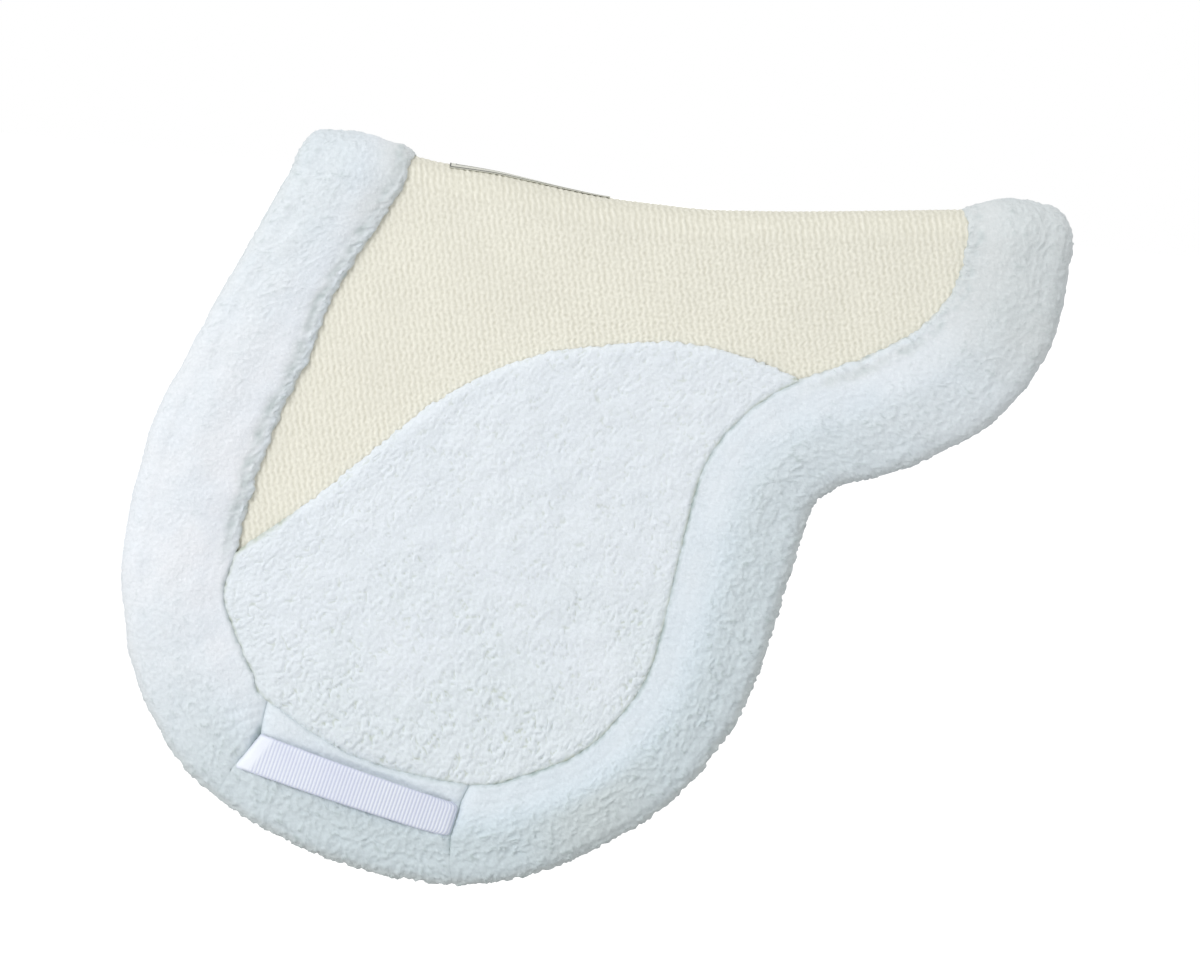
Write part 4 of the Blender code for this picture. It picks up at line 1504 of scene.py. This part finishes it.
@dataclass
class Panel:
    """Mesh, foam and lining of one half, each one sheet from the top of the fold down.

    Args:
        side: The half.
        tuck: How far the sheets reach under the border.
        overlap: How far the fine part of the mesh reaches under the flap panel.
        rib_pitch: Spacing of the knit's ribs.
        rib_height: Height of a rib from its middle.
        row_height: Height of one row of the knit, at whose end each rib jogs back.
        row_shift: How far a rib strays sideways within a row.
        row_slope: Angle of the rows to the crosswise direction of the ribs.
        rib_lean: Angle of the ribs from the vertical.
        stitch_height: Height of the unevenness from stitch to stitch.
        knit_thickness: Thickness of the knit.
        knit_points: Points across the knit and its rows above and below the flap panel's edge
            and over the fold.
        foam_points: The same for the foam.
        lining_points: The same for the lining.
        knit_thinning: Every how many points the knit's inner face has one.
        foam_levels: Depth of the foam's two faces below the knit's face.
        lining_levels: The same for the lining.
        bend_starts: Distance from the middle at which knit, foam and lining start to follow the
            half when it opens. Not used.
        bend_ends: Depth below the knit's face at which each follows it fully, just inside the
            sheet's inner face. Not used.
    """

    side: Side
    tuck: float = 10.0
    overlap: float = 10.0
    rib_pitch: float = 4.65
    rib_height: float = 0.32
    row_height: float = 9.4
    row_shift: float = 1.15
    row_slope: float = math.radians(3.4)
    rib_lean: float = math.radians(13.0)
    stitch_height: float = 0.32
    knit_thickness: float = 1.7
    knit_points: tuple[int, ...] = (451, 181, 11, 20)
    foam_points: tuple[int, ...] = (90, 24, 24, 9)
    lining_points: tuple[int, ...] = (150, 40, 44, 12)
    knit_thinning: int = 5
    foam_levels: Pair = (7.6, 2.0)
    lining_levels: Pair = (7.9, 12.0)
    bend_starts: Triple = (5.0, 4.0, 3.0)
    bend_ends: Triple = (2.0, 8.0, 13.0)

    def layout(self, columns: int, upper: int, lower: int, arc: int) -> Arrays:
        """Flat layout of the panel.

        Args:
            columns: Points across.
            upper: Rows above the flap panel's edge.
            lower: Rows below it.
            arc: Rows over the fold.

        Returns:
            x and drop at each point.
        """
        left = SHAPE.crease(0.0, SHAPE.flap_front, upper, self.tuck)
        right = SHAPE.crease(SHAPE.end, SHAPE.flap_rear, upper, self.tuck)
        x = np.linspace(left[0, 0], right[0, 0], columns)
        top = np.stack([x, SHAPE.fold_centre(x)], axis=1)
        left[0, 1], right[0, 1] = top[0, 1], top[-1, 1]
        under = SHAPE.flap_line(left[-1], right[-1], columns, self.overlap)
        first = patch(top, under, left, right)
        left = SHAPE.crease(SHAPE.flap_front, SHAPE.front_seam, lower, self.tuck)
        right = SHAPE.crease(SHAPE.flap_rear, SHAPE.rear_seam, lower, self.tuck)
        bottom = SHAPE.crease(SHAPE.front_seam, SHAPE.rear_seam, columns, self.tuck)
        second = patch(under, bottom, left, right)
        flat = np.concatenate([first, second[1:]])
        drop = SHAPE.drop_of(flat[..., 0], flat[..., 1])
        drop[0] = SHAPE.quarter
        over = np.linspace(0.0, SHAPE.quarter, arc, endpoint=False)[:, None]
        return (
            np.concatenate([np.broadcast_to(x, (arc, columns)), flat[..., 0]]),
            np.concatenate([np.broadcast_to(over, (arc, columns)), drop]),
        )

    def sheet(
        self, name: str, layout: Arrays, low: float, high: float, relief: Arrays,
        material: Material, thin: int = 1,
    ) -> Piece:
        """Closed sheet between two distances out, with a relief on one of its faces.

        Args:
            name: Name of the piece.
            layout: x and drop of its points.
            low: Distance out of its inner face.
            high: Distance out of its outer face.
            relief: Height added to the outer face, and its partings.
            material: Its material.
            thin: Every how many rows and columns the inner face has a point.

        Returns:
            The new object.
        """
        x, drop = layout
        height, parting = relief
        place = np.stack([x, drop, np.zeros_like(x)], axis=-1)
        builder = MeshBuilder(name)
        upper = builder.grid(SHAPE.hang(self.side, x, drop, high + height), place, parting)
        under = SHAPE.hang(self.side, x, drop, low + 0 * x)[::thin, ::thin]
        lower = builder.grid(under, place[::thin, ::thin], flip=True)
        for fine, coarse in (
            (upper[0][::-1], lower[0][::-1]), (upper[-1], lower[-1]),
            (upper[:, 0], lower[:, 0]), (upper[:, -1][::-1], lower[:, -1][::-1]),
        ):
            builder.close_between(fine, coarse)
        return builder.build(material)

    def ribs(self, x: Array, drop: Array) -> Arrays:
        """Relief of the knit's wavy ribs, and painted shade in their valleys, between stitches and
        near the ridge.
        """
        z = SHAPE.quarter - drop
        across = x * math.cos(self.rib_lean) + z * math.sin(self.rib_lean)
        along = z * math.cos(self.rib_lean) - x * math.sin(self.rib_lean)
        flat = np.stack([x, z], axis=-1)
        stray = grain_over(flat, (9.0, 13.0), 41)
        sway = grain_over(flat, (60.0, 30.0), 43)
        uneven = grain_over(flat, (9.0, 14.0), 45)
        stitch = grain_over(flat, (1.9, 2.3), 47)
        row = (-along - across * math.tan(self.row_slope)) / self.row_height + 0.25 * sway
        step = row - np.floor(row)
        turn = 0.65
        jog = np.where(step < turn, smooth_step(step / turn), fade(step - turn, 1 - turn))
        phase = across - self.row_shift * jog + 0.35 * stray
        rib = np.cos(2 * math.pi * phase / self.rib_pitch) * (0.8 + 0.6 * uneven)
        height = self.rib_height * rib + self.stitch_height * stitch
        # Painted shade near the ridge.
        shade = 0.3 * fade(drop - 4.0, 34.0)
        # Painted shade in the rib valleys and between stitches.
        return height, np.clip(0.38 + shade - 0.4 * rib - 0.8 * stitch, 0.0, 1.0)

    def make(self, finishes: Materials) -> None:
        name = self.side.prefix
        top = SHAPE.panel_half
        counts = (self.knit_points, self.foam_points, self.lining_points)
        fine, coarse, soft = (self.layout(*points) for points in counts)
        lining_pile = Pile(
            curl_size=6.0, curl_height=0.9, clump_size=22.0, clump_height=0.7, seed=71
        )
        nap, parting = lining_pile.relief(np.stack(soft, axis=-1), np.ones(soft[0].shape))
        nap = np.clip(nap, -1.0, 0.5)
        plain = (0 * coarse[0], 0 * coarse[0])
        knit = (self.knit_thickness, 0.0)
        sheets = (
            ("knit_sheet", fine, knit, self.ribs(*fine), "knit_mesh", "mesh_panel", "mesh_strip"),
            ("foam_sheet", coarse, self.foam_levels, plain, "foam", "foam_core", "foam_strip"),
            (
                "lining_sheet", soft, self.lining_levels, (-nap, parting),
                "lining_fleece", "lining", "lining_strip",
            ),
        )
        for (part, layout, levels, relief, slot, node, strip), bend_start, bend_end in zip(
            sheets, self.bend_starts, self.bend_ends
        ):
            low, high = (top - level for level in levels)
            thin = self.knit_thinning if layout is fine else 1
            piece = self.sheet(f"{name}_{part}", layout, low, high, relief, finishes[slot], thin)
            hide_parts(f"{name}_{node}", f"spine_{strip}")
            bend_sheet(piece)


@dataclass
class FlapPanel:
    """The pear-shaped sherpa panel under the rider's leg.

    Args:
        side: The half.
        thickness: Height of its pile over the mesh.
        edge_gap: Gap between its edge and the border's crease; below zero its pile meets the
            roll's.
        edge_round: Width over which its edge rises.
        seat_gap: Gap between its back and the mesh.
        fray: How unevenly its edge runs.
        low_ends: Places on the border between which its lower edge runs.
        rim_tone: How much painted shade darkens its rim in the crease against the border, by x.
        columns: Points across it.
        rows: Points from its top to its bottom.
    """

    side: Side
    thickness: float = 7.0
    edge_gap: float = -1.8
    edge_round: float = 8.0
    seat_gap: float = 0.6
    fray: float = 1.4
    low_ends: Pair = (8.4, 14.0)
    rim_tone: Points = (
        (-278.0, 1.0), (-266.0, 0.2), (-215.0, 0.4), (-170.0, 0.9), (-60.0, 1.2),
    )
    columns: int = 410
    rows: int = 232
    pile: Pile = Pile(
        curl_size=5.8, curl_height=1.7, clump_size=19.0, clump_height=1.3, seed=23,
        row_angle=math.radians(50.0), row_stretch=2.2, comb=1.4,
    )

    def outline_patch(self) -> Array:
        """Grid of (x, z) points inside the panel's outline."""
        columns, rows = self.columns, self.rows
        low_front, low_rear = self.low_ends
        left = SHAPE.crease(SHAPE.flap_front, low_front, rows, -self.edge_gap)
        right = SHAPE.crease(SHAPE.flap_rear, low_rear, rows, -self.edge_gap)
        top = SHAPE.flap_line(left[0], right[0], columns, 0.0)
        bottom = SHAPE.crease(low_front, low_rear, columns, -self.edge_gap)
        return patch(top, bottom, left, right)

    def make(self, finishes: Materials) -> None:
        flat = self.outline_patch()
        x, z = flat[..., 0], flat[..., 1]
        index = np.arange(x.size).reshape(x.shape)
        rim = np.concatenate([index[0, :-1], index[:-1, -1], index[-1, :0:-1], index[:0:-1, 0]])
        edge = np.array(self.rim_distance(flat.reshape(-1, 2), rim)).reshape(x.shape)
        fray = [grain_over(flat, 4.5, seed) for seed in (15, 16)]
        free = (0.8 + 0.7 * (z > SHAPE.crease_level(x))) * fade(edge, 7.0)
        x, z = (value + self.fray * move * free for value, move in zip((x, z), fray))
        rise = np.sqrt(1 - (1 - np.clip(edge / self.edge_round, 0.0, 1.0)) ** 2)
        places = np.stack([x, np.zeros_like(x), z], axis=-1)
        patches = grain_over(flat, 70.0, 9)
        # Curlier and darker towards the lower right: partly the curled pile's own tone, partly
        # painted shade away from the light.
        curled = 0.5 + 0.5 * smooth_step(patches + 0.35 - (z + 290 - 0.35 * (x + 110)) / 230)
        height, parting = self.pile.relief(flat, curled)
        # Painted shade in the crease where its rim meets the border.
        rim_tone = fade(edge, 4.5) * (z < SHAPE.crease_level(x)) * profile(self.rim_tone, x)
        parting = np.maximum(parting, rim_tone * np.clip(0.8 + fray[0], 0.2, 1.3))
        seat = SHAPE.slot_half + self.seat_gap
        out = seat + (self.thickness - 1.0) * (0.3 + 0.7 * rise) + height * (0.6 + 0.4 * rise)
        out = np.maximum(out, seat + 0.6)
        drop = SHAPE.drop_of(x, z)
        builder = MeshBuilder(f"{self.side.prefix}_flap_pile")
        top = builder.grid(SHAPE.hang(self.side, x, drop, out), places, parting, curled=curled)
        loop = top.ravel()[rim]
        seat_points = SHAPE.hang(self.side, x, drop, seat + 0 * x).reshape(-1, 3)[rim]
        seat_place = places.reshape(-1, 3)[rim]
        back = builder.grid(seat_points[None], seat_place[None])[0]
        builder.strip(np.stack([np.append(loop, loop[0]), np.append(back, back[0])]), flip=True)
        builder.faces.append(tuple(int(i) for i in back))
        piece = builder.build(finishes["flap_sherpa"])
        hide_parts(f"{self.side.prefix}_flap_fleece")
        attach(piece, self.side.body)

    @staticmethod
    def rim_distance(points: Array, rim: Array) -> list[float]:
        """Distance of each (x, z) point to the nearest rim point."""
        tree = KDTree(len(rim))
        for i in rim:
            tree.insert((points[i, 0], points[i, 1], 0.0), int(i))
        tree.balance()
        return [tree.find((x, z, 0.0))[2] for x, z in points]


@dataclass
class GirthKeeper:
    """Ribbed webbing strap over the bottom strip, sewn into the two seams.

    Args:
        side: The half.
        width: Width of the webbing.
        thick: Its thickness between ribs.
        lift: Height over the roll at its ends.
        bulge: How much higher it stands at its middle.
        tongue: How far its ends reach down into the seams.
        corners: Its upper and lower corner (x, z) at the front seam and at the rear seam.
        plain_end: Length at its front end over which the ribs are pressed flat.
        rib_pitch: Spacing of its cross ribs.
        rib_height: Height of a rib.
        corner: Radius of its corners where it turns down into the rear seam.
        corner_drop: How much lower those corners lie.
        samples: Points at which its run is read before they are spaced evenly.
        points: Points along and across it.
    """

    side: Side
    width: float = 25.4
    thick: float = 1.3
    lift: float = 2.0
    bulge: float = 6.5
    tongue: float = 7.0
    corners: tuple[Points, Points] = (
        ((-276.4, -413.2), (-294.6, -439.8)), ((-123.4, -451.2), (-128.0, -477.2)),
    )
    plain_end: float = 8.0
    rib_pitch: float = 2.7
    rib_height: float = 0.26
    corner: float = 5.0
    corner_drop: float = 1.5
    samples: int = 900
    points: tuple[int, int] = (620, 17)

    def make(self, finishes: Materials) -> None:
        upper, lower, _, run, span = self.edges()
        knots = [(0.6, -self.tongue), (0.9, -self.tongue / 2), (1.2, -0.6), (3.6, self.lift)]
        knots += [
            (span * s, self.lift + self.bulge * math.sin(math.pi * s))
            for s in np.linspace(0.06, 0.94, 9)
        ]
        knots += [(span - s, h) for s, h in reversed(knots[:4])]
        line = SmoothLine(tuple((float(s), float(h)) for s, h in knots))
        path = resample(line.at(np.linspace(0.0, line.last, self.samples)), self.points[0])
        gone = travelled(path)[:, None]
        tangent = np.gradient(path, axis=0)
        tangent /= np.linalg.norm(tangent, axis=1)[:, None]
        across = np.linspace(-1.0, 1.0, self.points[1])
        edge = np.clip((1 - np.abs(across)) * self.width / 2 / 0.9, 0.0, 1.0)
        slant = (across * np.linalg.norm(lower - upper, axis=1).mean() / 2)[None, :]
        skew = [float(width @ run) / span / 2 for width in lower - upper]
        share = np.clip(path[:, :1] / span, 0.0, 1.0)
        length = gone + across * (skew[0] * (1 - share) + skew[1] * share)
        pressed = smooth_step((gone - self.tongue - self.plain_end) / 5.0)
        rib = (0.5 + 0.5 * np.cos(2 * math.pi * length / self.rib_pitch)) * pressed + (1 - pressed)
        rib = self.rib_height * rib * (0.3 + 0.7 * edge)
        to_corner = (np.abs(across) - 1) * self.width / 2 / self.corner + 1
        rounded = 1 - np.sqrt(1 - np.clip(to_corner, 0, 1) ** 2)
        rounded = rounded * smooth_step((share - 0.85) / 0.15)
        faces = []
        for sign in (1.0, -1.0):
            offset = sign * (self.thick / 2 * (0.35 + 0.65 * np.sqrt(edge)) + rib)
            along = path[:, :1] - tangent[:, 1:] * offset - self.corner * rounded
            height = path[:, 1:] + tangent[:, :1] * offset - self.corner_drop * rounded
            faces.append(self.place(along, height, across))
        cloth = np.stack(np.broadcast_arrays(length, slant, 0.0), axis=-1)
        # Painted shade between the ribs.
        parting = np.clip(1 - rib / self.rib_height, 0, 1)
        builder = MeshBuilder(f"{self.side.prefix}_keeper_webbing")
        upper = builder.grid(faces[0], cloth, parting)
        lower = builder.grid(faces[1], cloth, parting, flip=True)
        builder.close_round(upper, lower)
        piece = builder.build(finishes["nylon_webbing"])
        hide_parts(f"{self.side.prefix}_girth_keeper")
        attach(piece, self.side.body)

    def edges(self) -> tuple[Array, Array, Array, Array, float]:
        """Its upper corners, lower corners, front end, run to its rear end, and length."""
        upper, lower = np.array(self.corners).transpose(1, 0, 2)
        ends = (upper + lower) / 2
        run = ends[1] - ends[0]
        return upper, lower, ends[0], run, float(np.linalg.norm(run))

    def over(self, points: Array) -> Array:
        """How far points lie under the webbing's band, from 0 outside it to 1."""
        _, _, start, run, span = self.edges()
        offset = points[..., ::2] - start
        along = offset @ run / span
        away = np.abs(offset[..., 0] * run[1] - offset[..., 1] * run[0]) / span
        within = smooth_step(along / 6.0 + 0.5) * smooth_step((span - along) / 6.0 + 0.5)
        return within * smooth_step((self.width / 2 + 5.0 - away) / 7.0)

    def place(self, along: Array, height: Array, across: Array) -> Array:
        """Hang the webbing's points over the bottom strip.

        Args:
            along: Distance from the front seam at each point.
            height: Height over the roll's face at each point.
            across: Place across the webbing, from -1 to 1, for each column.

        Returns:
            Rows, columns and coordinates.
        """
        upper, lower, _, _, span = self.edges()
        share = (along / span)[..., None]
        top = upper[0] * (1 - share) + upper[1] * share
        low = lower[0] * (1 - share) + lower[1] * share
        down = ((across + 1) / 2)[None, :, None]
        x, z = np.moveaxis(top * (1 - down) + low * down, -1, 0)
        y = self.side.value * (SHAPE.fold_radius + SHAPE.border_half + height)
        return np.stack([x, np.broadcast_to(y, x.shape), z], axis=-1)


@dataclass
class SpineTrim:
    """Seam tape under the spine and the blank label over it.

    Args:
        tape_width: Width of the tape.
        tape_out: Distance out of the tape's two faces.
        tape_ends: Where the tape starts and ends along the spine.
        label_ends: Where the label starts and ends along the spine.
        label_drops: Where the label's upper and lower edge lie, as lengths of cloth.
        label_skew: How much less the label reaches over the ridge at its rear end.
        label_out: Distance out of the label's two faces.
        edge_lines: Distance of the two dark lines from the label's edge.
        line_width: Width of a dark line.
        tape_points: Points along and across the tape.
        label_points: Points along and across the label.
        bend_start: Distance from the middle at which the label starts to follow the off half. Not
            used.
        bend_end: Depth below the knit's face at which it follows it fully, as the knit does. Not
            used.
    """

    tape_width: float = 16.0
    tape_out: Pair = (-7.1, -6.3)
    tape_ends: Pair = (-207.0, 206.0)
    label_ends: Pair = (-180.0, -58.0)
    label_drops: Pair = (-8.0, 19.0)
    label_skew: float = 6.5
    label_out: Pair = (6.6, 7.3)
    edge_lines: Pair = (0.6, 4.8)
    line_width: float = 0.7
    tape_points: tuple[int, int] = (160, 14)
    label_points: tuple[int, int] = (260, 70)
    bend_start: float = 5.0
    bend_end: float = 2.0

    def make(self, finishes: Materials) -> None:
        """Build and place tape and label."""
        width = self.tape_width / 2
        drops = (-width, width)
        piece = self.strip(
            "spine_tape", self.tape_ends, drops, self.tape_out, self.tape_points, False
        ).build(finishes["cotton_tape"])
        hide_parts("spine_seam_tape")
        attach(piece, "spine")
        piece = self.strip(
            "spine_label_patch", self.label_ends, self.label_drops, self.label_out,
            self.label_points, True,
        ).build(finishes["woven_label"])
        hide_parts("spine_label")
        bend_sheet(piece)

    def strip(
        self, name: str, ends: Pair, drops: Pair, outs: Pair, counts: tuple[int, int], lined: bool
    ) -> MeshBuilder:
        """Thin strip bent over the spine.

        Args:
            name: Name of the piece.
            ends: Its ends along the spine.
            drops: Its edges, as lengths of cloth from the top of the fold.
            outs: Distance out of its inner and outer face.
            counts: Points along and across.
            lined: Whether it has the two dark edge lines.

        Returns:
            The builder that holds it.
        """
        x = np.linspace(*ends, counts[0])[:, None]
        skew = self.label_skew * (x - ends[0]) / (ends[1] - ends[0]) * lined
        share = np.linspace(0.0, 1.0, counts[1])[None, :]
        drop = drops[0] + skew + (drops[1] - drops[0] - skew) * share
        edge = np.minimum(drop - drops[0] - skew, drops[1] - drop)
        inside = np.minimum(np.minimum(x - ends[0], ends[1] - x), edge)
        dark = lined * sum(
            smooth_step(1.5 - np.abs(inside - line) / self.line_width * 1.5)
            for line in self.edge_lines
        )
        x, drop = np.broadcast_arrays(x, drop)
        place = np.stack([x, drop, 0.0 * x], axis=-1)
        builder = MeshBuilder(name)
        upper = builder.grid(SHAPE.hang(Side.OFF, x, drop, outs[1]), place, dark)
        lower = builder.grid(SHAPE.hang(Side.OFF, x, drop, outs[0]), place, flip=True)
        builder.close_round(upper, lower)
        return builder


@dataclass
class Studio:
    """Camera, lights and floor.

    Args:
        aim: Point of the pad at the middle of the picture.
        view_width: Width of what the camera sees at that point.
        lens: Focal length.
        roll: Angle by which the picture's spine runs down to the right.
        tilt: Height of the camera over the horizon, as an angle.
        floor_level: Height of the floor.
        floor_reach: How far the floor reaches to each side, in metres.
        floor_tone: Tone of the floor.
        floor_glow: How much lighter it looks to the camera, so that it comes out white.
        ambient: Strength of the even light from all round.
        lamp_distance: Distance of the lamps, in metres.
        key_light: Light that arrives from the key lamp, a soft box, at the middle of the pad.
        key_size: Its width, in metres.
        fill_light: Strength of the distant lamp behind the pad.
        fill_spread: Angle that it spans.
    """

    aim: Triple = (-43.5, -20.0, -197.3)
    view_width: float = 900.0
    lens: float = 150.0
    roll: float = math.radians(6.0)
    tilt: float = math.radians(5.0)
    floor_level: float = -900.0
    floor_reach: float = 30.0
    floor_tone: float = 0.6
    floor_glow: float = 0.6
    ambient: float = 0.84
    lamp_distance: float = 4.0
    key_light: float = 1.2
    key_size: float = 1.4
    fill_light: float = 0.9
    fill_spread: float = math.radians(50.0)

    def camera(self) -> None:
        """Make the camera at the photograph's viewing angle."""
        data = bpy.data.cameras.new("camera")
        data.lens = self.lens
        data.sensor_width = 36.0
        data.clip_end = 100.0
        camera = add_object("camera", data)
        right = Vector((math.cos(self.roll), 0.0, math.sin(self.roll)))
        level_up = Vector((-math.sin(self.roll), 0.0, math.cos(self.roll)))
        back = Vector((0.0, -1.0, 0.0)) * math.cos(self.tilt) + level_up * math.sin(self.tilt)
        up = back.cross(right)
        turn = Matrix((right, up, back)).transposed().to_4x4()
        distance = self.view_width * self.lens / data.sensor_width * MM
        camera.matrix_world = Matrix.Translation(Vector(self.aim) * MM + back * distance) @ turn
        bpy.context.scene.camera = camera

    def lamp(self, name: str, kind: str, direction: Triple, energy: float) -> Piece:
        """Make a lamp that shines at the middle of the pad.

        Args:
            name: Name of the lamp.
            kind: Blender's name for its kind.
            direction: Direction from the pad to the lamp.
            energy: Its strength.

        Returns:
            The new lamp.
        """
        data = bpy.data.lights.new(name, kind)
        data.energy = energy
        lamp = add_object(name, data)
        towards = Vector(direction).normalized()
        lamp.location = Vector(self.aim) * MM + towards * self.lamp_distance
        lamp.rotation_euler = towards.to_track_quat("Z", "Y").to_euler()
        return lamp

    def world(self) -> None:
        """Even light all round, and white where the camera looks past the pad."""
        world = bpy.data.worlds.new("studio")
        world.use_nodes = True
        graph = Graph(world.node_tree)
        background = world.node_tree.nodes["Background"]
        strength = graph.math("MULTIPLY_ADD", graph.seen(), 1.0 - self.ambient, self.ambient)
        graph.fill(background, {"Strength": strength, "Color": WHITE})
        bpy.context.scene.world = world

    def floor(self) -> None:
        """Plain pale floor, white to the camera where no shadow falls, and clear from below."""
        mesh = bpy.data.meshes.new("floor")
        reach, level = self.floor_reach, self.floor_level * MM
        corners_xy = ((-reach, -reach), (reach, -reach), (reach, reach), (-reach, reach))
        mesh.from_pydata([(x, y, level) for x, y in corners_xy], [], [(0, 1, 2, 3)])
        material = bpy.data.materials.new("floor")
        material.use_nodes = True
        graph = Graph(material.node_tree)
        shader = material.node_tree.nodes["Principled BSDF"]
        graph.fill(shader, {
            "Base Color": (*[self.floor_tone] * 3, 1.0), "Roughness": 1.0,
            "Emission Color": WHITE,
            "Emission Strength": graph.math("MULTIPLY", graph.seen(), self.floor_glow),
        })
        under = graph.add("ShaderNodeNewGeometry").outputs["Backfacing"]
        clear = graph.add("ShaderNodeBsdfTransparent").outputs[0]
        one_sided = graph.add("ShaderNodeMixShader", {0: under, 1: shader.outputs[0], 2: clear})
        output = material.node_tree.nodes["Material Output"]
        graph.fill(output, {"Surface": one_sided.outputs[0]})
        mesh.materials.append(material)
        add_object("floor", mesh)

    def make(self) -> None:
        """Set up the studio."""
        self.camera()
        self.world()
        self.floor()
        key_energy = self.key_light * math.pi * self.lamp_distance**2
        key = self.lamp("key", "AREA", (-0.85, -1.1, 0.42), key_energy)
        key.data.shape, key.data.size = "SQUARE", self.key_size
        fill = self.lamp("back_fill", "SUN", (0.6, 1.0, 0.15), self.fill_light)
        fill.data.angle = self.fill_spread
        bpy.context.scene.view_settings.view_transform = "Standard"


def corners(box: tuple[Vector, Vector]) -> list[list[float]]:
    """A box as plain lists of numbers."""
    return [list(corner) for corner in box]


def main() -> None:
    """Build the pad's surfaces around the frame."""
    logging.basicConfig(level=logging.INFO, format="%(name)s: %(message)s")
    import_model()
    effects = Effects()
    finishes = {finish.name: finish.material(effects) for finish in FINISHES}
    for side in Side:
        Border(side).make(finishes)
        Panel(side).make(finishes)
        FlapPanel(side).make(finishes)
        GirthKeeper(side).make(finishes)
    SpineTrim().make(finishes)
    Studio().make()


if __name__ == "__main__":
    main()
